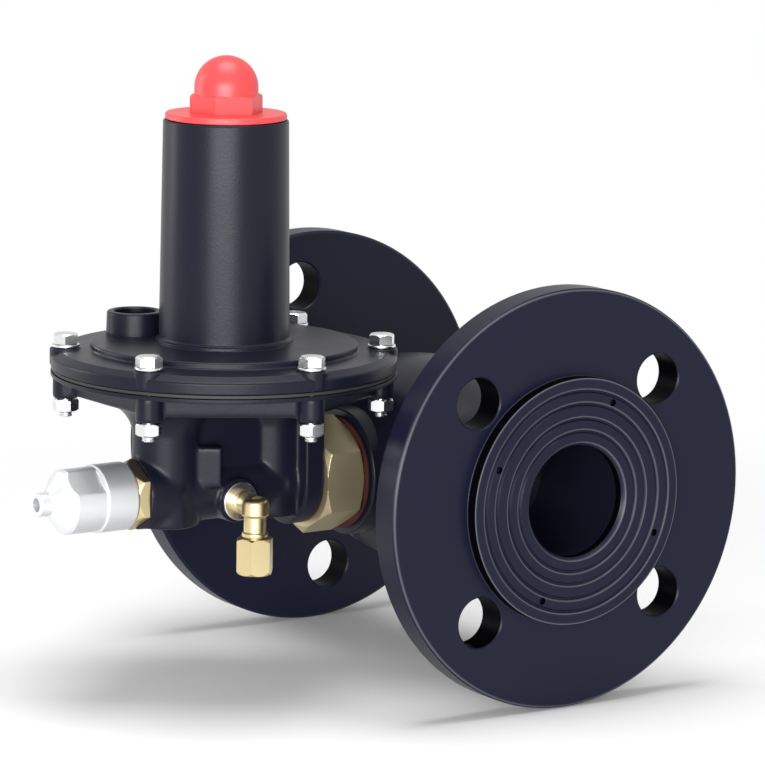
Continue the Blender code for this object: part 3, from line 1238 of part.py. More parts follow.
def build_elbow(brass, zinc):
    """Elbow in the housing port for the sensing line, its washer, the ferrule
    and the compression nut on the leg that points down."""
    half = ELBOW_BLOCK / 2
    washer_hole = ELBOW_STUB_DIAMETER / 2 + SEAT_GAP
    port = frame_on("-Y", (PORT_X, PORT_FACE_Y, PORT_HEIGHT))
    turned("elbow_washer", ring(washer_hole, ELBOW_WASHER_DIAMETER / 2, SEAT_GAP,
                                SEAT_GAP + ELBOW_WASHER_THICKNESS), port, zinc, 20)
    stub_end = PORT_BOSS_PROUD + HOUSING_WALL - SEAT_GAP
    shoulder = PORT_FACE_Y - ELBOW_SHOULDER_Y
    elbow = turned("elbow", [
        (0, -stub_end),
        (ELBOW_STUB_DIAMETER / 2, -stub_end),
        (ELBOW_STUB_DIAMETER / 2, shoulder),
        (ELBOW_SHOULDER_DIAMETER / 2, shoulder),
        (ELBOW_SHOULDER_DIAMETER / 2, shoulder + ELBOW_SHOULDER_WIDTH),
        (half * 0.95, shoulder + ELBOW_SHOULDER_WIDTH),
        (half * 0.95, ELBOW_REACH),
        (0, ELBOW_REACH),
    ], port, brass)
    join(elbow, block((PORT_X - half, ELBOW_Y - half, PORT_HEIGHT - half),
                      (PORT_X + half, ELBOW_Y + half, PORT_HEIGHT + half)))
    neck_end = half + ELBOW_NECK_LENGTH
    collar_end = neck_end + ELBOW_COLLAR_LENGTH
    thread_end = collar_end + ELBOW_THREAD_LENGTH
    leg_place = frame_on("-Z", (PORT_X, ELBOW_Y, PORT_HEIGHT))
    thread = ELBOW_THREAD_DIAMETER / 2
    join(elbow, turned("tool", [
        (0, 0),
        (ELBOW_NECK_DIAMETER / 2, 0),
        (ELBOW_NECK_DIAMETER / 2, neck_end),
        (ELBOW_COLLAR_DIAMETER / 2, neck_end),
        (ELBOW_COLLAR_DIAMETER / 2, collar_end),
        (thread - SEAT_GAP, collar_end),
        (thread - SEAT_GAP, thread_end),
        (0, thread_end),
    ], leg_place))
    bore = ELBOW_BORE / 2
    cut(elbow, bar("-Z", (PORT_X, ELBOW_Y, PORT_HEIGHT), bore, 2 * thread_end, 12))
    cut(elbow, bar("+Y", (PORT_X, ELBOW_Y - bore / 2, PORT_HEIGHT), bore, ELBOW_REACH + 2 * stub_end, 12))
    nut_start = collar_end + SEAT_GAP
    nut_end = nut_start + COMPRESSION_NUT_LENGTH
    nut_bore = thread + SEAT_GAP
    tube = TUBE_DIAMETER / 2 + RUNNING_GAP
    flat = COMPRESSION_NUT_FLATS
    corner = flat / math.sqrt(3)
    ease = flat * 0.06
    turned("compression_nut", [
        (nut_bore, nut_start),
        hexagon(flat, nut_start, flat / 2 + ease / 2),
        hexagon(flat, nut_start + ease, corner),
        hexagon(flat, nut_end - ease, corner),
        hexagon(flat, nut_end, flat / 2 + ease / 2),
        (tube, nut_end),
        (tube, nut_end - COMPRESSION_NUT_END),
        (nut_bore, nut_end - COMPRESSION_NUT_END),
    ], frame_on("-Z", (PORT_X, ELBOW_Y, PORT_HEIGHT), math.radians(26)), brass)
    ferrule_end = nut_end - COMPRESSION_NUT_END - SEAT_GAP
    turned("ferrule", ring(tube, nut_bore - 2 * SEAT_GAP, ferrule_end - FERRULE_LENGTH, ferrule_end),
           leg_place, brass, HIDDEN_SIDES)


def build_valve():
    for old in list(bpy.data.objects):
        bpy.data.objects.remove(old)
    paint = material("black_paint", BLACK_PAINT, 0.38, 0.0)
    brass = material("brass", BRASS, 0.28, 1.0)
    bronze = material("bronze", BRASS, 0.45, 1.0)
    zinc = material("zinc_plate", ZINC, 0.32, 1.0)
    steel = material("bright_steel", STEEL, 0.30, 1.0)
    aluminium = material("turned_aluminium", ALUMINIUM, 0.25, 1.0)
    red = material("red_plastic", RED_PLASTIC, 0.42, 0.0)
    rubber = material("black_rubber", RUBBER, 0.70, 0.0)
    fibre = material("gasket_fibre", FIBRE, 0.80, 0.0)
    plastic = material("vent_plastic", DARK_PLASTIC, 0.55, 0.0)
    build_flange("inlet_flange", "+Y", 0, INLET_HOLE_TURN, paint)
    build_flange("outlet_flange", "-Y", FACE_TO_FACE, OUTLET_HOLE_TURN, paint)
    build_body(paint)
    nut_front = build_seat_and_disc(brass, steel, rubber)
    build_spindle(steel, nut_front)
    build_union(brass, bronze, rubber, fibre, steel)
    build_lower_case(paint)
    build_vent_insert(build_upper_cover(paint), plastic)
    build_case_fasteners(zinc)
    build_diaphragm(rubber)
    build_stem(steel, zinc)
    build_tower_springs(steel)
    build_adjusters(brass, steel)
    build_trip_lever(steel)
    build_latch_pawl(steel)
    build_pins(steel)
    build_reset_bush(brass)
    build_reset_cap(aluminium)
    build_red_cap(red)
    build_elbow(brass, zinc)
    for piece in bpy.context.scene.objects:
        piece.data.shade_smooth()
        piece.data.set_sharp_from_angle(angle=math.radians(35))


build_valve()
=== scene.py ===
"""Safety shut-off valve for a gas line, dressed over its engineering solids.

Pieces are drawn in millimetres in the valve's own frame: the origin is on the
inlet flange's face, +Y runs along the flow, +Z up the spring tower.
"""
import json
import math

import bmesh
import bpy
import numpy as np
from mathutils import Matrix, Vector

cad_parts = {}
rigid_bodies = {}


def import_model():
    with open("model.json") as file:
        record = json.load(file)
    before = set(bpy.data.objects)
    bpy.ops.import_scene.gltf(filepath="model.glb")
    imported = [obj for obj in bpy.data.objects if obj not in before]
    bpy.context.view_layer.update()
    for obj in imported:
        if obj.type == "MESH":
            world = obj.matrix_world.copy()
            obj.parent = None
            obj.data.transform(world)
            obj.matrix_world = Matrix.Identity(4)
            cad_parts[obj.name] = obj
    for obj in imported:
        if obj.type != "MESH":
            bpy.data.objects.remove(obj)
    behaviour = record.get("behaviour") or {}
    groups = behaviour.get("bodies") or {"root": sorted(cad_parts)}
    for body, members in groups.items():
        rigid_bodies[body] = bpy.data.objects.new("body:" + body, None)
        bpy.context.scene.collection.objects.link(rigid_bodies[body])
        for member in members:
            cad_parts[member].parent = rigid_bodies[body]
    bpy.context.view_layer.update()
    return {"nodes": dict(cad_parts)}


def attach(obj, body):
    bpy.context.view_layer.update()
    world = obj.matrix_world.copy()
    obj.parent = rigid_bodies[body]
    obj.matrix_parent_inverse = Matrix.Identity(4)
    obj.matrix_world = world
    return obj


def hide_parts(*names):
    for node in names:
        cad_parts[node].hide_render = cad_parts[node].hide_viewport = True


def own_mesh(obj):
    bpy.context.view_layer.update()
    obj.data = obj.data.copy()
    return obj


for leftover in list(bpy.data.objects):
    bpy.data.objects.remove(leftover)
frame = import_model()


# Globe body
# Ductile iron casting: a bulged middle between two octagonal collars, with
# threaded necks for the flanges and a round boss for the actuator's union.
# It is blasted and sprayed with black enamel.

def filleted(corners, steps=5, longest=None):
    """Profile with rounded corners. A corner is (radius, height, fillet): its arc
    touches both sides, and points on it blend the two touching directions by
    the sines of their shares of the turn. Long sides are split when asked."""
    points = np.array([corner[:2] for corner in corners], float)
    fillet = np.array([corner[2] if len(corner) > 2 else 0.0 for corner in corners])[:, None]
    back = np.roll(points, 1, 0) - points
    ahead = np.roll(points, -1, 0) - points
    back /= np.linalg.norm(back, axis=1, keepdims=True)
    ahead /= np.linalg.norm(ahead, axis=1, keepdims=True)
    opening = np.arccos(np.clip((back * ahead).sum(1, keepdims=True), -0.999999, 0.999999))
    inward = (back + ahead) / np.maximum(np.linalg.norm(back + ahead, axis=1, keepdims=True), 1e-9)
    middle = points + inward * fillet / np.sin(opening / 2)
    start = points + back * fillet / np.tan(opening / 2) - middle
    end = points + ahead * fillet / np.tan(opening / 2) - middle
    share = np.linspace(0, 1, steps + 1)[None, :, None]
    turn = (math.pi - opening)[:, None]
    arc = (np.sin((1 - share) * turn) * start[:, None] + np.sin(share * turn) * end[:, None]) / np.sin(turn)
    line = (middle[:, None] + arc).reshape(-1, 2)
    line = line[np.r_[True, np.linalg.norm(np.diff(line, axis=0), axis=1) > 1e-5]]
    if longest:
        lengths = np.linalg.norm(np.diff(line, axis=0), axis=1)
        travel = np.r_[0, np.cumsum(lengths)]
        extra = [np.linspace(a, b, max(2, int((b - a) / longest) + 2))[1:-1]
                 for a, b in zip(travel, travel[1:])]
        travel_all = np.sort(np.concatenate([travel] + extra))
        line = np.stack([np.interp(travel_all, travel, line[:, column]) for column in (0, 1)], 1)
    return line


DIRECTIONS = {
    "+X": ((0, 1, 0), (0, 0, 1), (1, 0, 0)),
    "-X": ((0, 1, 0), (0, 0, -1), (-1, 0, 0)),
    "+Y": ((0, 0, 1), (1, 0, 0), (0, 1, 0)),
    "-Y": ((1, 0, 0), (0, 0, 1), (0, -1, 0)),
    "+Z": ((1, 0, 0), (0, 1, 0), (0, 0, 1)),
    "-Z": ((0, 1, 0), (1, 0, 0), (0, 0, -1)),
}


def closed_mesh(name, grid, ring=False):
    """Solid from a grid of points in millimetres: neighbours share a four-sided
    face, columns close round, rows close on a ring or meet in poles."""
    rows, columns = grid.shape[:2]
    index = np.arange(rows * columns).reshape(rows, columns)
    low, high = (index, np.roll(index, -1, 0)) if ring else (index[:-1], index[1:])
    faces = np.stack([low, np.roll(low, -1, 1), np.roll(high, -1, 1), high], -1).reshape(-1, 4)
    mesh = bpy.data.meshes.new(name)
    mesh.from_pydata((grid.reshape(-1, 3) * 0.001).tolist(), [], faces.tolist())
    shape = bmesh.new()
    shape.from_mesh(mesh)
    bmesh.ops.remove_doubles(shape, verts=shape.verts, dist=1e-7)
    bmesh.ops.recalc_face_normals(shape, faces=shape.faces)
    shape.to_mesh(mesh)
    shape.free()
    piece = bpy.data.objects.new(name, mesh)
    bpy.context.scene.collection.objects.link(piece)
    return piece


def turned(name, line, axis, origin, sides=96, flats=(), turn=0.0):
    """Surface of revolution: the profile's radius swept round the axis. Each entry
    of flats (count, width, low, high) limits the radius to half the width over
    the cosine of the angle from the nearest flat, between two heights."""
    line = np.asarray(line, float)
    ring = not (line[0, 0] < 1e-6 and line[-1, 0] < 1e-6)
    angle = np.linspace(0, 2 * math.pi, sides, endpoint=False)
    radius = np.repeat(line[:, :1], sides, 1)
    for count, width, low, high in flats:
        step = 2 * math.pi / count
        offset = (angle + step / 2) % step - step / 2
        limit = width / 2 / np.maximum(np.cos(offset), 1e-3)
        inside = (line[:, 1] > low - 1e-6) & (line[:, 1] < high + 1e-6)
        radius = np.where(inside[:, None], np.minimum(radius, limit[None, :]), radius)
    spin = angle + turn
    local = np.stack([radius * np.cos(spin), radius * np.sin(spin), np.repeat(line[:, 1:2], sides, 1)], -1)
    return closed_mesh(name, local @ np.array(DIRECTIONS[axis], float) + np.array(origin, float), ring)


def shaped(piece, tool, operation="DIFFERENCE"):
    """The tool cut from the piece, joined to it, or used to trim it."""
    change = piece.modifiers.new("Shape", "BOOLEAN")
    change.operation, change.solver, change.object = operation, "MANIFOLD", tool
    bpy.context.view_layer.update()
    made = bpy.data.meshes.new_from_object(piece.evaluated_get(bpy.context.evaluated_depsgraph_get()))
    piece.modifiers.clear()
    piece.data = made
    bpy.data.objects.remove(tool)


def drill(axis, origin, radius, length, sides=64):
    """Round tool from the origin along the axis."""
    return turned("tool", [(0, 0), (radius, 0), (radius, length), (0, length)], axis, origin, sides)


def box_tool(low, high):
    """Square-cornered tool between two corners: a unit grid of four columns."""
    (x0, y0, z0), (x1, y1, z1) = low, high
    outline = np.array([(x0, y0), (x1, y0), (x1, y1), (x0, y1)], float)
    middle = outline.mean(0)
    rows = [np.c_[np.tile(middle, (4, 1)), np.full(4, z0)], np.c_[outline, np.full(4, z0)],
            np.c_[outline, np.full(4, z1)], np.c_[np.tile(middle, (4, 1)), np.full(4, z1)]]
    return closed_mesh("tool", np.array(rows))


def grain_group():
    """Random height of fine grain and random mask of coarse patches: two noises."""
    group = bpy.data.node_groups.new("fine_grain", "ShaderNodeTree")
    for name, value in (("Scale", 900.0), ("Coarse Scale", 60.0)):
        group.interface.new_socket(name, in_out="INPUT", socket_type="NodeSocketFloat").default_value = value
    group.interface.new_socket("Height", in_out="OUTPUT", socket_type="NodeSocketFloat")
    group.interface.new_socket("Patches", in_out="OUTPUT", socket_type="NodeSocketFloat")
    nodes, links = group.nodes, group.links
    entry, leave = nodes.new("NodeGroupInput"), nodes.new("NodeGroupOutput")
    place = nodes.new("ShaderNodeTexCoord")
    for socket, output, detail in (("Scale", "Height", 3), ("Coarse Scale", "Patches", 5)):
        noise = nodes.new("ShaderNodeTexNoise")
        noise.inputs["Detail"].default_value = detail
        links.new(entry.outputs[socket], noise.inputs["Scale"])
        links.new(place.outputs["Object"], noise.inputs["Vector"])
        links.new(noise.outputs["Fac"], leave.inputs[output])
    return group


fine_grain = grain_group()


def surface_finish(name, colour, roughness, metallic=0.0, grain=900.0, depth=0.05, patches=60.0,
                   darker=0.85, specular=0.5):
    """Procedural finish: the base colour drifts between a darker shade and itself
    over the patches, the gloss drifts with it, and the grain raises the surface."""
    finish = bpy.data.materials.new(name)
    finish.use_nodes = True
    nodes, links = finish.node_tree.nodes, finish.node_tree.links
    shader = nodes["Principled BSDF"]
    shader.inputs["Metallic"].default_value = metallic
    shader.inputs["Specular IOR Level"].default_value = specular
    texture = nodes.new("ShaderNodeGroup")
    texture.node_tree = fine_grain
    texture.inputs["Scale"].default_value = grain
    texture.inputs["Coarse Scale"].default_value = patches
    shade = nodes.new("ShaderNodeMix")
    shade.data_type = "RGBA"
    shade.inputs["A"].default_value = [value * darker for value in colour] + [1]
    shade.inputs["B"].default_value = list(colour) + [1]
    links.new(texture.outputs["Patches"], shade.inputs["Factor"])
    links.new(shade.outputs["Result"], shader.inputs["Base Color"])
    gloss = nodes.new("ShaderNodeMapRange")
    gloss.inputs["To Min"].default_value = roughness * 0.85
    gloss.inputs["To Max"].default_value = roughness * 1.15
    links.new(texture.outputs["Patches"], gloss.inputs["Value"])
    links.new(gloss.outputs["Result"], shader.inputs["Roughness"])
    bump = nodes.new("ShaderNodeBump")
    bump.inputs["Strength"].default_value = depth
    bump.inputs["Distance"].default_value = 0.0002
    links.new(texture.outputs["Height"], bump.inputs["Height"])
    links.new(bump.outputs["Normal"], shader.inputs["Normal"])
    return finish


def fitted(piece, finish, body, slot, *nodes, sharp=32.0):
    """Shades the finished piece, gives it its surface and ties it to its body."""
    piece.data.materials.clear()
    piece.data.materials.append(finish)
    piece.data.shade_smooth()
    piece.data.set_sharp_from_angle(angle=math.radians(sharp))
    weigh = piece.modifiers.new("Normals", "WEIGHTED_NORMAL")
    weigh.keep_sharp = True
    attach(piece, body)
    if nodes:
        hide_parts(*nodes)


valve_length, middle_y, spindle_z = 186, 93, -1
cast_enamel = surface_finish("cast_enamel", (0.0070, 0.0076, 0.0165), 0.35, grain=1100, depth=0.16,
                             specular=0.21)
globe = np.linspace(0, 1, 25)
body_line = np.concatenate([
    filleted([(0, 4.8), (23.9, 4.8, 0.6), (23.9, 26.3), (32.5, 26.3, 0.6), (32.5, 39.3, 0.6),
              (28.5, 39.3, 1.5), (28.5, 44.0)])[:-1],
    np.stack([28.5 + 10 * np.sin(math.pi * globe), 44.3 + 97.4 * globe], 1),
    filleted([(28.5, 142.0), (28.5, 146.7, 1.5), (32.5, 146.7, 0.6), (32.5, 159.7, 0.6), (23.9, 159.7),
              (23.9, 181.2, 0.6), (0, 181.2)])[1:],
])
globe_body = turned("globe_body", body_line, "+Y", (0, 0, 0), 144,
                    flats=((8, 62, 26.3, 39.3), (8, 62, 146.7, 159.7)))
boss_line = filleted([(0, 0), (23, 0, 0.8), (23, 39), (0, 39)])
boss = turned("tool", boss_line, "+X", (-39, middle_y, spindle_z), 96)
shaped(globe_body, boss, "UNION")
for axis, start, side in (("+Y", 0, -1), ("-Y", valve_length, 1)):
    shaped(globe_body, drill(axis, (0, start, 0), 20, 49.8, 96))
    inner = np.stack([23 + 10 * np.sin(math.pi * globe), 44.3 + 97.4 * globe], 1)
    chamber = turned("tool", np.concatenate([[(0, 39.3)], inner, [(0, 146.7)]]), "+Y", (0, 0, 0), 96)
    half = ((-77, -1, -77), (-3.5, 130.2, 77)) if side < 0 else ((3.5, 55.8, -77), (77, 187, 77))
    shaped(chamber, box_tool(*half), "INTERSECT")
    shaped(globe_body, chamber)
shaped(globe_body, drill("+X", (-38.5, middle_y, spindle_z), 15.0, 45.5))
shaped(globe_body, drill("+X", (-39.5, middle_y, spindle_z), 17.0, 29.5))
fitted(globe_body, cast_enamel, "valve", "black_paint", "valve_body")


# Flanges
# Two turned steel flanges, screwed onto the body's necks. Each raised face has
# four fine sealing grooves and four spanner holes; four bolt holes go through
# the plate. They carry the same enamel over fine lathe marks.

def worked_out(tree, operation, *values):
    """The output of a new math node whose inputs are numbers or other outputs."""
    node = tree.nodes.new("ShaderNodeMath")
    node.operation = operation
    for socket, value in zip(node.inputs, values):
        if isinstance(value, (int, float)):
            socket.default_value = value
        else:
            tree.links.new(value, socket)
    return node.outputs[0]


def ring_marks(finish, along, scale, strength, distance):
    """Adds turning marks to a finish: a noise of one value raises the surface."""
    nodes, links = finish.node_tree.nodes, finish.node_tree.links
    marks = nodes.new("ShaderNodeTexNoise")
    marks.noise_dimensions = "1D"
    marks.inputs["Scale"].default_value = scale
    links.new(along, marks.inputs["W"])
    bump = nodes.new("ShaderNodeBump")
    bump.inputs["Strength"].default_value = strength
    bump.inputs["Distance"].default_value = distance
    links.new(marks.outputs["Fac"], bump.inputs["Height"])
    shader = nodes["Principled BSDF"]
    links.new(shader.inputs["Normal"].links[0].from_socket, bump.inputs["Normal"])
    links.new(bump.outputs["Normal"], shader.inputs["Normal"])


def lathe_enamel(name, highlight_radii):
    """Enamel over turned metal, marked in rings round the pipe axis. It is painted
    paler at the given distances, in millimetres, as a painted highlight on crests and
    edges, and painted darker with weaker reflection as painted shade on the walls of
    holes, step and bore at both ends of the valve."""
    gloss = 0.18
    finish = surface_finish(name, (0.0066, 0.0071, 0.0210), 0.36, grain=1500, depth=0.10, specular=gloss)
    tree = finish.node_tree
    nodes, links = tree.nodes, tree.links
    place = nodes.new("ShaderNodeTexCoord")
    flat = nodes.new("ShaderNodeVectorMath")
    flat.operation = "MULTIPLY"
    flat.inputs[1].default_value = (1, 0, 1)
    links.new(place.outputs["Object"], flat.inputs[0])
    reach = nodes.new("ShaderNodeVectorMath")
    reach.operation = "LENGTH"
    links.new(flat.outputs[0], reach.inputs[0])
    distance = reach.outputs["Value"]
    ramp_end, half_crest = 80, 0.35
    # Painted highlight: thin paler rings at the given radii stand in for light caught by the crests and edges
    # of the raised face and by the rim edge.
    painted_highlight_rings = nodes.new("ShaderNodeValToRGB")
    steps = painted_highlight_rings.color_ramp.elements
    steps[0].color = steps[1].color = (0, 0, 0, 1)
    for crest_highlight in highlight_radii:
        for offset, value in ((-half_crest, 0), (0, 1), (half_crest, 0)):
            steps.new((crest_highlight + offset) / ramp_end).color = (value, value, value, 1)
    links.new(worked_out(tree, "DIVIDE", distance, ramp_end / 1000), painted_highlight_rings.inputs["Fac"])
    split, facing = nodes.new("ShaderNodeSeparateXYZ"), nodes.new("ShaderNodeSeparateXYZ")
    links.new(place.outputs["Object"], split.inputs[0])
    links.new(place.outputs["Normal"], facing.inputs[0])

    def past(metres):
        """One at both ends of the valve, further than this from its middle."""
        return worked_out(tree, "SUBTRACT", 1.0,
                          worked_out(tree, "COMPARE", split.outputs["Y"], middle_y / 1000, metres))

    # Painted shade: faces turned across the pipe axis, inside the rim and at both ends, are painted almost
    # black and stand in for the shade in holes, step and bore.
    sideways = worked_out(tree, "COMPARE", facing.outputs["Y"], 0.0, 0.5)
    inside_rim = worked_out(tree, "LESS_THAN", distance, 0.0735)
    wall_shade = worked_out(tree, "MULTIPLY", worked_out(tree, "MULTIPLY", sideways, inside_rim), past(0.0766))
    crest_highlight = worked_out(tree, "MULTIPLY", painted_highlight_rings.outputs["Color"], past(0.0872))
    shader = nodes["Principled BSDF"]
    colour = shader.inputs["Base Color"].links[0].from_socket
    # The crest mask mixes in the painted highlight colour, and the wall mask mixes in the painted shade
    # colour.
    for factor, tint in ((crest_highlight, (0.10, 0.102, 0.118, 1)), (wall_shade, (0.0015, 0.0015, 0.0025, 1))):
        tinted = nodes.new("ShaderNodeMix")
        tinted.data_type = "RGBA"
        tinted.inputs["B"].default_value = tint
        links.new(factor, tinted.inputs["Factor"])
        links.new(colour, tinted.inputs["A"])
        colour = tinted.outputs["Result"]
    links.new(colour, shader.inputs["Base Color"])
    # The painted shade also turns down the reflection on those walls.
    wall_gloss = 0.015
    shaded_specular = worked_out(tree, "MULTIPLY_ADD", wall_shade, wall_gloss - gloss, gloss)
    links.new(shaded_specular, shader.inputs["Specular IOR Level"])
    ring_marks(finish, distance, 2600, 0.16, 0.00015)
    return finish


# Radii of the painted highlight rings on the raised face, and the rim edge.
turned_enamel = lathe_enamel("turned_enamel", (21.2, 25.75, 30.25, 35.45, 40.05, 43.75, 74.3))
face = [(20, 1.5, 0.3), (21.5, 0, 0.3)]
for groove in (25.0, 29.5, 34.7, 39.3):
    face += [(groove - 0.7, 0, 0.15), (groove - 0.2, 0.7, 0.08),
             (groove + 0.2, 0.7, 0.08), (groove + 0.7, 0, 0.15)]
flange_line = filleted(face + [
    (44, 0, 0.35), (44, 4.5, 0.5), (74, 4.5, 0.25), (75, 5.5, 0.3), (75, 15.5, 0.3), (74, 16.5, 0.25),
    (35, 16.5, 1.2), (32, 26, 0.6), (24.2, 26, 0.3), (24.2, 4.5), (20, 4.5)], steps=4)
bolt_reach, spanner_reach = 55, 37.0
spanner_turn = 67.0
hole_line = [(0, 4.0), (10.0, 4.0), (9.0, 5.0), (9.0, 16.0), (10.0, 17.0), (0, 17.0)]
for name, axis, start, bolt_turn in (("inlet_flange", "+Y", 0, 46.8),
                                     ("outlet_flange", "-Y", valve_length, 7.5)):
    flange = turned(name + "_turned", flange_line, axis, (0, start, 0), 240)
    outward = 1 if axis == "+Y" else -1
    for quarter in range(4):
        angle = math.radians(bolt_turn + 90 * quarter)
        place = (bolt_reach * math.cos(angle), start, bolt_reach * math.sin(angle))
        shaped(flange, turned("tool", hole_line, axis, place, 96))
        angle = math.radians(spanner_turn + 90 * quarter)
        place = (spanner_reach * math.cos(angle), start - outward, spanner_reach * math.sin(angle))
        shaped(flange, drill(axis, place, 1.3, 3.0, 24))
    fitted(flange, turned_enamel, "valve", "black_paint", name)


# Seat ring, disc and spindle
# Brass seat screwed into the partition, a steel disc with a rubber face held by
# a washer and nut, and the spindle that carries them. All of it is inside.

def as_modelled(*rows):
    """Gives pieces that keep their engineering solid a finish."""
    for node, finish, slot in rows:
        part = frame["nodes"][node]
        part.data.materials.clear()
        part.data.materials.append(finish)


bright_steel = surface_finish("bright_steel", (0.55, 0.55, 0.56), 0.28, metallic=1.0, grain=2000, depth=0.05)
old_brass = surface_finish("turned_brass", (0.80, 0.66, 0.37), 0.33, metallic=1.0, grain=1400, depth=0.05,
                           darker=0.88, patches=45)
black_rubber = surface_finish("black_rubber", (0.022, 0.022, 0.023), 0.62, grain=1500, depth=0.15)
as_modelled(
    ("seat_ring", old_brass, "brass"), ("valve_disc", bright_steel, "steel"),
    ("disc_seal", black_rubber, "rubber"), ("seal_washer", bright_steel, "steel"),
    ("disc_nut", bright_steel, "steel"), ("spindle", bright_steel, "steel"),
    ("spindle_seal", black_rubber, "rubber"), ("guide_bush", old_brass, "bronze"))


# Brass union and its gasket
# Hexagon of free-cutting brass between the body and the trip housing, chamfered
# at both ends on the lathe, with a thread each way and a pocket for the spring.

hex_blank = [(10.5, -46.6), (10.5, -30.6), (16.7, -30.6, 0.5), (16.7, -40.6), (18.6, -40.6), (21.36, -42.2),
             (21.36, -54.3), (18.6, -55.9), (8.7, -55.9), (8.7, -63.9, 0.4), (6.3, -63.9), (6.3, -49.6),
             (4.3, -49.6), (4.3, -46.6)]
union = turned("union_hexagon", filleted(hex_blank, 3, 0.35), "+X", (0, middle_y, spindle_z), 144,
               flats=((6, 37, -55.95, -40.55),))
aged_brass = surface_finish("aged_brass", (0.52, 0.44, 0.27), 0.42, metallic=0.75, grain=1400, depth=0.05,
                            darker=0.7)
fitted(union, aged_brass, "valve", "brass", "union_hex", sharp=25)
gasket_sheet = surface_finish("gasket_sheet", (0.055, 0.020, 0.016), 0.8, grain=700, depth=0.3,
                              specular=0.1)
gasket_line = filleted([(17.0, -40.3), (20.5, -40.3, 0.2), (20.5, -39.3, 0.2), (17.0, -39.3)], 3)
gasket = turned("fibre_gasket", gasket_line, "+X", (0, middle_y, spindle_z), 96)
fitted(gasket, gasket_sheet, "valve", "gasket_fibre", "union_gasket")


# Closing spring
# Round wire, wound round the spindle, with its end turns closed. It pushes the
# spindle's flange towards the seat.

def wound(name, mean, wire, low, high, turns, axis, origin, start=0.0, stop=1.0):
    """Tube round a helix: the centre line climbs evenly except on the last half
    turn at each end, which lies flat, and the tube's circle stands in the radial
    plane. Start and stop keep a share of the turns, and a pole closes each end."""
    per_turn, round_wire = 40, 12
    share = np.linspace(start, stop, int(turns * (stop - start) * per_turn) + 1)
    share = np.r_[start, share, stop]
    angle = 2 * math.pi * turns * share
    rise = np.clip((share - 0.5 / turns) / (1 - 1 / turns), 0, 1)
    height = low + wire / 2 + (high - low - wire) * rise
    around = np.linspace(0, 2 * math.pi, round_wire, endpoint=False)
    size = np.r_[0, np.ones(len(share) - 2), 0][:, None]
    reach = mean / 2 + size * wire / 2 * np.cos(around)[None, :]
    grid = np.stack([reach * np.cos(angle)[:, None], reach * np.sin(angle)[:, None],
                     height[:, None] + size * wire / 2 * np.sin(around)[None, :]], -1)
    return closed_mesh(name, grid @ np.array(DIRECTIONS[axis], float) + np.array(origin, float))


closing = wound("closing_coil", 15.5, 1.5, -46.3, -17.6, 6, "+X", (0, middle_y, spindle_z))
fitted(closing, bright_steel, "valve", "steel", "closing_spring", sharp=60)
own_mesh(closing)


# Lower casting
# Aluminium casting in one piece: the hexagonal diaphragm bowl with six bolt
# bosses, and the trip housing under it, two columns that flare into the bowl
# and a web between them. Cast edges are round, machined faces and bores crisp.

case_x, case_y = -88.7, 93.0
bolt_circle, first_bolt, bolt_clearance = 56.1, 29.3, 3.3
bolt_places = [(case_x + bolt_circle * math.cos(math.radians(60 * step - first_bolt)),
                case_y + bolt_circle * math.sin(math.radians(60 * step - first_bolt))) for step in range(6)]
column_places = (-112.5, -68.9)
pawl_x, pawl_z = -103.2, 14.0
lever_x, lever_z = -72.7, 24.3
port_x, port_z = -90.2, -4.5


def upright(name, outline, low, high):
    """Prism over an outline: a pole, the outline low, the outline high, a pole."""
    outline = np.array(outline, float)
    middle = np.tile(outline.mean(0), (len(outline), 1))
    rows = [np.c_[middle, np.full(len(outline), low)], np.c_[outline, np.full(len(outline), low)],
            np.c_[outline, np.full(len(outline), high)], np.c_[middle, np.full(len(outline), high)]]
    return closed_mesh(name, np.array(rows))


def cast_edges(piece, grain, passes):
    """Rounds every edge as a mould does: the solid is rebuilt on a fine lattice
    and relaxed, so that corners and joins turn into small fillets."""
    lattice = piece.modifiers.new("Lattice", "REMESH")
    lattice.mode, lattice.voxel_size = "VOXEL", grain * 0.001
    relax = piece.modifiers.new("Relax", "SMOOTH")
    relax.factor, relax.iterations = 0.5, passes
    bpy.context.view_layer.update()
    made = bpy.data.meshes.new_from_object(piece.evaluated_get(bpy.context.evaluated_depsgraph_get()))
    piece.modifiers.clear()
    piece.data = made


housing = upright("lower_casting", bolt_places, 31.6, 39.6)
boss_line = [(0, 30.4), (4.6, 30.4), (4.6, 39.6), (0, 39.6)]
for x, y in bolt_places:
    shaped(housing, turned("tool", boss_line, "+Z", (x, y, 0), 48), "UNION")
flare = np.linspace(0, math.pi / 2, 18)
flare_radius = 11.5 + 16.0 * (1 - np.cos(flare)) ** 1.25
flare_line = np.concatenate([[(0, 14.5), (11.5, 14.5)],
                             np.stack([flare_radius, 15 + 17.1 * np.sin(flare)], 1), [(0, 32.1)]])
inner_hexagon = [(case_x + (x - case_x) * 0.99, case_y + (y - case_y) * 0.99) for x, y in bolt_places]
for x in column_places:
    foot = turned("foot", flare_line, "+Z", (x, middle_y, 0), 72)
    shaped(foot, upright("tool", inner_hexagon, -20, 40), "INTERSECT")
    shaped(housing, foot, "UNION")
for x in column_places:
    shaped(housing, drill("+Z", (x, middle_y, -13), 12.0, 45.3, 96), "UNION")
shaped(housing, drill("+X", (-112.5, middle_y, spindle_z), 11.8, 43.6, 96), "UNION")
shaped(housing, box_tool((-112.5, 84.7, -1), (-68.9, 101.3, 32.3)), "UNION")
pad_face = np.array([(-109.3, 84.1), (-98.5, 77.9), (-95.6, 83.0), (-106.3, 89.2)])
shaped(housing, upright("tool", pad_face, 1.2, 15.9), "UNION")
shaped(housing, drill("-Y", (pawl_x, 104.6, pawl_z), 3.6, 8, 48), "UNION")
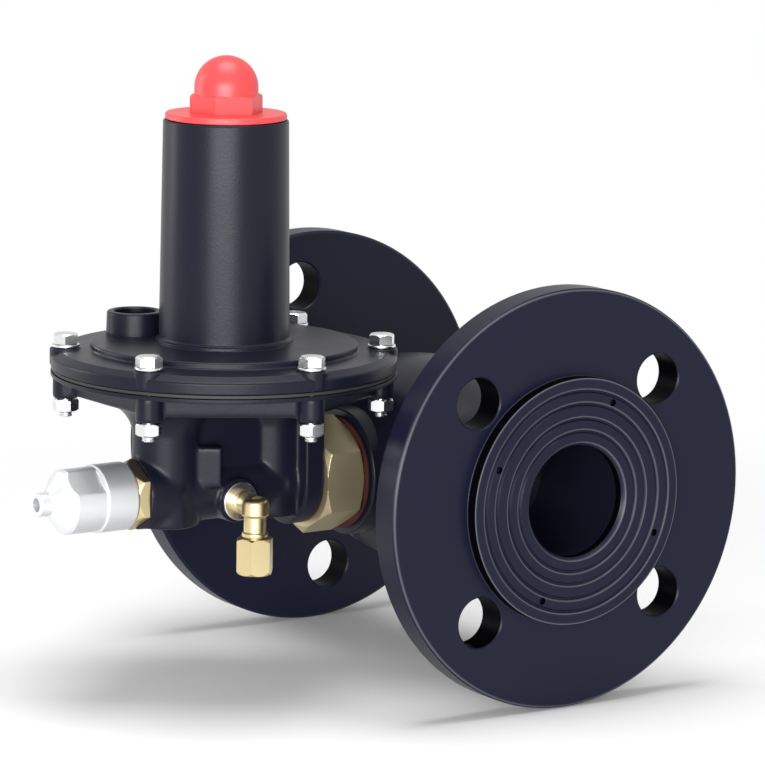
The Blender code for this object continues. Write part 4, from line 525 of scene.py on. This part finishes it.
half_turn = np.linspace(math.pi, 2 * math.pi, 33)
arch = np.stack([middle_y + 16.8 * np.cos(half_turn), spindle_z + 16.8 * np.sin(half_turn)], 1)
union_pad = np.concatenate([arch, [(109.8, 32.3), (76.2, 32.3)]])
pad_rows = [np.c_[np.full(len(union_pad), x), union_pad] for x in (-64.2, -56.2)]
pad_ends = [np.tile(row.mean(0), (len(union_pad), 1)) for row in pad_rows]
pad_rows = [pad_ends[0], *pad_rows, pad_ends[1]]
shaped(housing, closed_mesh("tool", np.array(pad_rows)), "UNION")
shaped(housing, drill("+X", (-125.6, middle_y, spindle_z), 12.6, 13.1, 96), "UNION")
shaped(housing, drill("-X", (-55.4, middle_y, spindle_z), 12.6, 13.5, 96), "UNION")
shaped(housing, drill("+Y", (port_x, 79.6, port_z), 8.0, 10.4, 72), "UNION")
cast_edges(housing, 0.7, 7)
rim_line = filleted([(0, 38.9), (61.5, 38.9, 0.3), (61.5, 40.4, 0.2), (0, 40.4)], 3)
shaped(housing, turned("tool", rim_line, "+Z", (case_x, case_y, 0), 180), "UNION")
shaped(housing, drill("+X", (-56.2, middle_y, spindle_z), 22.5, 54, 96))
shaped(housing, drill("-X", (-125.2, middle_y, spindle_z), 15.0, 5, 96))
shaped(housing, drill("-Y", (port_x, 80.0, port_z), 9.5, 3, 64))
bowl_line = [(0, 35), (26.5, 35), (26.5, 38.6), (29, 38.6), (29, 35), (45, 35), (45, 44), (0, 44)]
shaped(housing, turned("tool", bowl_line, "+Z", (case_x, case_y, 0), 120))
shaped(housing, box_tool((-113.2, 86.4, -1), (-68.2, 99.6, 44)))
shaped(housing, drill("+X", (-113.2, middle_y, spindle_z), 9.3, 45, 72))
for axis, x, radius in (("+X", -125.5, 8.0), ("-X", -55.9, 9.0)):
    shaped(housing, drill(axis, (x, middle_y, spindle_z), radius, 14.7))
shaped(housing, drill("+Y", (port_x, 79.7, port_z), 4.3, 6.4, 48))
for x, z in ((pawl_x, pawl_z), (lever_x, lever_z)):
    shaped(housing, drill("+Y", (x, 81.9, z), 1.8, 22.2, 24))
for x, y in bolt_places:
    shaped(housing, drill("+Z", (x, y, 28), bolt_clearance, 14, 32))
fitted(housing, cast_enamel, "valve", "black_paint", "lower_case", sharp=38)


# Diaphragm, stem and trip levers
# Rubber diaphragm, its rim clamped between the castings and its centre between
# the zinc-plated plates, with their nut, spring seat and stem, the forked lever
# that the stem moves, and the latch.

zinc_plate = surface_finish("zinc_plate", (0.86, 0.87, 0.88), 0.27, metallic=1.0, grain=2200, depth=0.06,
                            patches=110)
fold = np.linspace(0, 1, 17)
fold_line = np.stack([34 + 10 * fold, 3.6 * np.sin(math.pi * fold) ** 2], 1)
under = np.concatenate([fold_line, [(61, 0)]])
over = under[::-1] + np.array([0, 1.0])
rim = turned("diaphragm_rim", np.concatenate([under, over]) + np.array([0, 40.7]), "+Z",
             (case_x, case_y, 0), 120)
for x, y in bolt_places:
    shaped(rim, drill("+Z", (x, y, 40), bolt_clearance, 3, 24))
fitted(rim, black_rubber, "valve", "rubber", "diaphragm")
centre = turned("diaphragm_centre", [(3.3, 40.7), (33.9, 40.7), (33.9, 41.7), (3.3, 41.7)], "+Z",
                (case_x, case_y, 0), 120)
fitted(centre, black_rubber, "diaphragm_group", "rubber")
as_modelled(
    ("lower_plate", zinc_plate, "zinc"), ("upper_plate", zinc_plate, "zinc"),
    ("stem_nut", zinc_plate, "zinc"), ("spring_seat", zinc_plate, "zinc"),
    ("diaphragm_stem", bright_steel, "steel"), ("trip_lever", bright_steel, "steel"),
    ("latch_pawl", bright_steel, "steel"), ("lever_pin", bright_steel, "steel"),
    ("pawl_pin", bright_steel, "steel"), ("max_adjuster", old_brass, "brass"),
    ("min_adjuster", bright_steel, "steel"), ("ferrule", old_brass, "brass"))


# Setting springs
# A strong outer coil for over-pressure and a light inner one for the lower
# limit, both of steel wire. They stand on the seat and are held down by the
# adjusters in the tower.

# Mean diameter, wire, top and number of turns of each coil
outer_coil, inner_coil = (29.6, 3.0, 103.7, 5), (18.0, 1.6, 102.7, 7)
spring_foot = 45.9
# Each coil is cut into lengths, and each length is tied to one body
for name, nodes_replaced, coil_size, body, joint, start, stop, fixed, keep in (
    ("outer_coil_foot", ["setting_spring"], outer_coil, "valve", "diaphragm_lift", 0, 0.499, 74.8, 0.896),
    ("outer_coil_head", [], outer_coil, "valve", "max_adjuster_set", 0.501, 1, 74.8, 0.723),
    ("inner_coil_foot", ["min_spring"], inner_coil, "valve", "diaphragm_lift", 0, 0.3515, 64.8, 0.841),
    ("inner_coil_middle", [], inner_coil, "valve", "max_adjuster_set", 0.3535, 0.6465, 64.8, 0.579),
    ("inner_coil_head", [], inner_coil, "max_adjuster_group", "min_adjuster_set", 0.6485, 1, 83.8, 0.683),
):
    mean, wire, top, turns = coil_size
    coil = wound(name, mean, wire, spring_foot, top, turns, "+Z", (case_x, case_y, 0), start, stop)
    fitted(coil, bright_steel, body, "steel", *nodes_replaced, sharp=60)
    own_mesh(coil)


# Cover with spring tower
# The upper casting: a bolted rim, a raised disc, six bolt bosses, the vent boss
# and the tall, slightly tapered tower. It is cast, turned and enamelled.

cover_line = filleted([
    (44, 42.0, 0.2), (61.5, 42.0, 0.4), (61.5, 46.0, 1.2), (58, 48.0, 1.0), (47.5, 48.4, 0.8),
    (47.5, 50.9, 0.8), (24.4, 50.9, 0.3), (24.4, 52.2, 0.5), (23.25, 52.2, 1.0), (22.2, 130, 0.9),
    (19.5, 130, 0.4), (19.5, 50.2, 0.8), (21.5, 48.2, 0.5), (42, 48.2, 0.5), (44, 46.2, 0.5)], steps=6)
cover = turned("cover_casting", cover_line, "+Z", (case_x, case_y, 0), 240)
pad_line = filleted([(0, 42.6), (5.7, 42.6, 0.4), (5.7, 48.6, 0.7), (0, 48.6)], 5)
for x, y in bolt_places:
    shaped(cover, turned("tool", pad_line, "+Z", (x, y, 0), 64), "UNION")
vent_reach, vent_turn = 36, math.radians(120.7)
vent = (case_x + vent_reach * math.cos(vent_turn), case_y + vent_reach * math.sin(vent_turn))
vent_line = filleted([(0, 49.5), (10.4, 49.5), (10.1, 59, 0.9), (0, 59)], 5)
shaped(cover, turned("tool", vent_line, "+Z", vent + (0,), 96), "UNION")
cup_line = [(0, 53.2), (7.6, 53.2), (7.6, 58.5), (8.6, 59.5), (0, 59.5)]
shaped(cover, turned("tool", cup_line, "+Z", vent + (0,), 72))
shaped(cover, drill("+Z", vent + (40,), 2.0, 20, 32))
for x, y in bolt_places:
    shaped(cover, drill("+Z", (x, y, 40), bolt_clearance, 12, 32))
fitted(cover, cast_enamel, "valve", "black_paint", "upper_cover")
vent_plastic = surface_finish("vent_plastic", (0.02, 0.02, 0.022), 0.5, grain=900, depth=0.1)
plug_line = filleted([(1.0, 53.5), (7.3, 53.5, 0.3), (7.3, 56.1, 0.5), (1.0, 56.1, 0.3)], 4)
plug = turned("vent_plug", plug_line, "+Z", vent + (0,), 72)
fitted(plug, vent_plastic, "valve", "vent_plastic", "vent_insert")


# Case bolts, washers and nuts
# Six zinc-plated hexagon bolts through both castings, each with a washer under
# its head and a nut below. Heads and nuts are chamfered, and no two bolts are
# turned to the same angle.

tail = [(0, 23.7), (1.9, 23.7)]
for ridge in range(2):
    tail += [(2.35, 24.1 + ridge), (2.35, 24.3 + ridge), (2.05, 24.6 + ridge), (2.05, 24.8 + ridge)]
bolt_line = filleted(tail + [(2.35, 26.1), (2.35, 50.0), (4.75, 50.0), (4.75, 53.0), (3.85, 53.6, 0.25),
                             (0, 53.7)], 4, 0.5)
washer_line = filleted([(2.8, 48.9), (5.0, 48.9, 0.2), (5.0, 49.8, 0.3), (2.8, 49.8, 0.2)], 4)
nut_line = filleted([(2.8, 25.8), (3.85, 25.8), (4.75, 26.4), (4.75, 29.5), (4.2, 30.1), (2.8, 30.1)], 3, 0.4)
across_flats = 8.2
kinds = (("bolt", bolt_line, ((6, across_flats, 49.95, 55),), 0), ("washer", washer_line, (), 0),
         ("nut", nut_line, ((6, across_flats, 25, 31),), 0.4))
head_turns = (17, 41, 5, 28, 52, 11)
for number, ((x, y), head_turn) in enumerate(zip(bolt_places, head_turns), 1):
    for kind, line, flats, shift in kinds:
        piece = turned(f"hexagon_{kind}_{number}", line, "+Z", (x, y, 0), 72, flats,
                       math.radians(head_turn) + shift)
        fitted(piece, zinc_plate, "valve", "zinc", f"case_{kind}_{number}", sharp=25)


# Reset bush and reset cap
# Brass bush in the housing's end and the turned aluminium cap screwed onto it:
# round collar, two wrench flats, a steep cone and a small drilled tip.

bush_line = filleted([(4.3, -136.7), (8.7, -136.7, 0.4), (8.7, -129.7), (11.2, -129.7, 0.2), (12.7, -127.6),
                      (12.7, -125.5), (7.7, -125.5), (7.7, -116.5, 0.4), (4.3, -116.5)], 3, 0.35)
bush = turned("hexagon_bush", bush_line, "+X", (0, middle_y, spindle_z), 144,
              flats=((6, 22, -129.8, -125.45),))
fitted(bush, old_brass, "valve", "brass", "reset_bush", sharp=25)
turned_aluminium = surface_finish("turned_aluminium", (0.80, 0.81, 0.83), 0.42, metallic=0.75, grain=2500,
                                  depth=0.04, patches=70, darker=0.92)
nodes, links = turned_aluminium.node_tree.nodes, turned_aluminium.node_tree.links
place, along = nodes.new("ShaderNodeTexCoord"), nodes.new("ShaderNodeVectorMath")
along.operation = "DOT_PRODUCT"
along.inputs[1].default_value = (1, 0, 0)
links.new(place.outputs["Object"], along.inputs[0])
ring_marks(turned_aluminium, along.outputs["Value"], 3000, 0.15, 0.0001)
cap_line = filleted([
    (0, -160.2), (2.5, -160.2), (2.5, -165.2, 0.3), (4.1, -165.2, 0.7), (4.3, -160.6, 0.6),
    (10.8, -155.3, 0.4), (11.5, -154.3, 0.3), (11.5, -142.8, 0.3), (12.1, -142.2, 0.2),
    (12.1, -130.8, 0.2), (11.4, -130.0, 0.2), (9.0, -130.0), (9.0, -137.0), (6.0, -137.0),
    (6.0, -156.2), (0, -156.2)], 4, 0.4)
reset_cap = turned("turned_reset_cap", cap_line, "+X", (0, middle_y, spindle_z), 180,
                   flats=((2, 20.6, -160.5, -143.0),), turn=math.radians(132))
fitted(reset_cap, turned_aluminium, "reset_cap_group", "aluminium", "reset_cap", sharp=28)


# Red sealing cap
# Moulded in one piece: a spigot that seals in the tower, a flat disc, a hexagon
# for the key and a hollow dome over the adjusting screws.

red_plastic = surface_finish("red_plastic", (0.72, 0.058, 0.062), 0.38, grain=1200, depth=0.08, darker=0.93,
                             specular=0.45)
rise = np.linspace(0, math.pi / 2, 24)
dome_radius, hollow_radius, dome_foot = 11.3, 8.5, 141.2
dome, hollow = (np.stack([radius * np.sin(rise), dome_foot + radius * np.cos(rise)], 1)
                for radius in (dome_radius, hollow_radius))
skirt = filleted([(dome_radius, 141.1), (dome_radius, 138.9, 0.3), (12.3, 138.8, 0.2), (13.3, 138.0),
                  (13.3, 132.4), (21.0, 132.4, 0.2), (21.5, 131.9, 0.4), (21.5, 130.3, 0.2), (19.2, 130.3),
                  (19.2, 122.3, 0.5), (16.0, 122.3, 0.3), (16.0, 130.3), (hollow_radius, 130.3),
                  (hollow_radius, 141.1)], 4, 0.5)[:-1]
red_cap = turned("moulded_red_cap", np.concatenate([dome, skirt[1:], hollow[::-1]]), "+Z",
                 (case_x, case_y, 0), 180, flats=((6, 22.8, 132.35, 138.95),), turn=math.radians(11.3))
fitted(red_cap, red_plastic, "red_cap_group", "red_plastic", "red_cap", sharp=28)


# Sensing elbow
# Brass elbow screwed into the housing port on a zinc-plated washer, with a
# round head and a threaded leg. The compression nut and its ferrule hold the
# sensing tube.

elbow_place = (port_x, 69.0, port_z)
head = filleted([(0, -2.9), (5.0, -2.9, 2.2), (5.0, 3.1, 0.6), (3.95, 3.8, 0.4), (3.95, 9.4, 0.3),
                 (4.6, 9.4, 0.3), (4.6, 11.1, 0.3), (4.0, 11.1)], 5)
leg = []
for ridge in range(9):
    leg += [(4.0, 11.3 + ridge), (4.4, 11.6 + ridge), (4.4, 11.8 + ridge), (4.0, 12.1 + ridge)]
elbow = turned("forged_elbow", np.concatenate([head, leg, [(4.0, 20.1), (0, 20.1)]]), "-Z", elbow_place, 96)
stub = filleted([(0, -1), (3.7, -1), (3.7, 6.4, 0.5), (4.4, 7.0, 0.2), (4.4, 11), (0, 11)], 4)
shaped(elbow, turned("tool", stub, "+Y", elbow_place, 72), "UNION")
shaped(elbow, drill("-Z", elbow_place, 2.0, 30, 32))
shaped(elbow, drill("+Y", (port_x, 68.0, port_z), 2.0, 20, 32))
fitted(elbow, old_brass, "valve", "brass", "elbow")
port_washer_line = filleted([(4.3, 0.3), (6.9, 0.3, 0.3), (6.9, 1.8, 0.4), (4.3, 1.8, 0.2)], 4)
washer = turned("port_washer", port_washer_line, "-Y", (port_x, 80.0, port_z), 72)
fitted(washer, zinc_plate, "valve", "zinc", "elbow_washer")
nut_low, nut_end = 11.4, 24.4
nut_profile = filleted([(4.8, nut_low), (6.0, nut_low, 0.1), (6.85, nut_low + 0.9), (6.85, nut_end - 1.2),
                        (5.9, nut_end, 0.2), (3.3, nut_end, 0.3), (3.3, nut_end - 1.7),
                        (4.8, nut_end - 1.7)], 3, 0.35)
tube_nut = turned("compression_hexagon", nut_profile, "-Z", elbow_place, 144,
                  flats=((6, 11.8, 11.3, 24.5),), turn=math.radians(11.6))
fitted(tube_nut, old_brass, "nut_group", "brass", "compression_nut", sharp=25)


# Floor, light and camera
# A plain studio: a pale floor that turns white away from the valve, a pale
# world, three large soft lamps, and a long lens at the photograph's angle.

def quad(name, corners, finish):
    """A four-cornered sheet that belongs to the studio, not to the valve."""
    mesh = bpy.data.meshes.new(name)
    mesh.from_pydata(corners, [], [(0, 1, 2, 3)])
    mesh.materials.append(finish)
    sheet = bpy.data.objects.new(name, mesh)
    bpy.context.scene.collection.objects.link(sheet)


def seen_directly(tree):
    """One for camera, glossy and transmission rays, nothing for the others."""
    rays = tree.nodes.new("ShaderNodeLightPath").outputs
    either = worked_out(tree, "MAXIMUM", rays["Is Camera Ray"], rays["Is Glossy Ray"])
    return worked_out(tree, "MAXIMUM", either, rays["Is Transmission Ray"])


white_floor = bpy.data.materials.new("white_floor")
white_floor.use_nodes = True
nodes, links = white_floor.node_tree.nodes, white_floor.node_tree.links
plain = nodes["Principled BSDF"]
plain.inputs["Base Color"].default_value = (0.95, 0.95, 0.95, 1)
plain.inputs["Roughness"].default_value = 0.9
plain.inputs["Specular IOR Level"].default_value = 0.0
place, reach = nodes.new("ShaderNodeTexCoord"), nodes.new("ShaderNodeVectorMath")
far = nodes.new("ShaderNodeMapRange")
reach.operation = "LENGTH"
far.interpolation_type = "SMOOTHSTEP"
far.inputs["From Min"].default_value, far.inputs["From Max"].default_value = 0.25, 0.60
links.new(place.outputs["Object"], reach.inputs[0])
links.new(reach.outputs["Value"], far.inputs["Value"])
tree = white_floor.node_tree
share = worked_out(tree, "MULTIPLY", far.outputs["Result"], seen_directly(tree))
white, blend = nodes.new("ShaderNodeEmission"), nodes.new("ShaderNodeMixShader")
links.new(share, blend.inputs[0])
links.new(plain.outputs[0], blend.inputs[1])
links.new(white.outputs[0], blend.inputs[2])
links.new(blend.outputs[0], nodes["Material Output"].inputs["Surface"])
half_floor, floor_height = 15, -0.0753
quad("studio_floor", [(x * half_floor, y * half_floor, floor_height)
                      for x, y in ((-1, -1), (1, -1), (1, 1), (-1, 1))], white_floor)

world = bpy.data.worlds.new("studio")
bpy.context.scene.world = world
world.use_nodes = True
nodes, links = world.node_tree.nodes, world.node_tree.links
nodes.clear()
seen, lit = nodes.new("ShaderNodeBackground"), nodes.new("ShaderNodeBackground")
seen.inputs["Strength"].default_value = 1.0
lit.inputs["Strength"].default_value = 0.45
choose, leave = nodes.new("ShaderNodeMixShader"), nodes.new("ShaderNodeOutputWorld")
links.new(seen_directly(world.node_tree), choose.inputs[0])
links.new(lit.outputs[0], choose.inputs[1])
links.new(seen.outputs[0], choose.inputs[2])
links.new(choose.outputs[0], leave.inputs["Surface"])

azimuth, elevation, roll = math.radians(-34.075), math.radians(9.85), math.radians(0.869)
back = Vector((math.sin(azimuth) * math.cos(elevation), -math.cos(azimuth) * math.cos(elevation),
               math.sin(elevation)))
right = Vector((math.cos(azimuth), math.sin(azimuth), 0))
upward = back.cross(right)
rolled_right = right * math.cos(roll) + upward * math.sin(roll)
rolled_up = upward * math.cos(roll) - right * math.sin(roll)
aside, above, away, along_pipe = -0.06587, 0.041195, 1.54805, 0.00474
eye = rolled_right * aside + rolled_up * above + back * away + Vector((0, along_pipe, 0))
lens = bpy.data.cameras.new("photo_lens")
film_width, focal_pixels, picture_pixels = 36, 4400.94, 765
lens.lens, lens.sensor_width = film_width * focal_pixels / picture_pixels, film_width
lens.clip_start, lens.clip_end = 0.05, 20
camera = bpy.data.objects.new("photo_camera", lens)
bpy.context.scene.collection.objects.link(camera)
camera.matrix_world = Matrix.Translation(eye) @ Matrix((rolled_right, rolled_up, back)).transposed().to_4x4()
bpy.context.scene.camera = camera


def soft_lamp(name, place, aim, size, power):
    """Large area lamp at a place, turned towards its aim."""
    light = bpy.data.lights.new(name, "AREA")
    light.shape, light.size, light.size_y, light.energy = "RECTANGLE", size[0], size[1], power
    lamp = bpy.data.objects.new(name, light)
    bpy.context.scene.collection.objects.link(lamp)
    lamp.location = place
    lamp.rotation_mode = "QUATERNION"
    lamp.rotation_quaternion = (Vector(aim) - Vector(place)).to_track_quat("-Z", "Y")


middle = Vector((-0.04, 0.09, 0.03))
front = Vector((back.x, back.y, 0)).normalized()
for name, ahead, to_right, above, size, power in (
    ("front_softbox", 1.85, -0.1, 0.18, (1.5, 0.5), 42),
    ("left_softbox", -0.35, -1.2, 0.25, (0.35, 0.9), 4),
    ("top_softbox", 0.1, 0.0, 1.3, (0.8, 0.8), 13),
):
    place = middle + front * ahead + right * to_right + Vector((0, 0, above))
    soft_lamp(name, place, middle, size, power)
bpy.context.scene.view_settings.view_transform = "Standard"
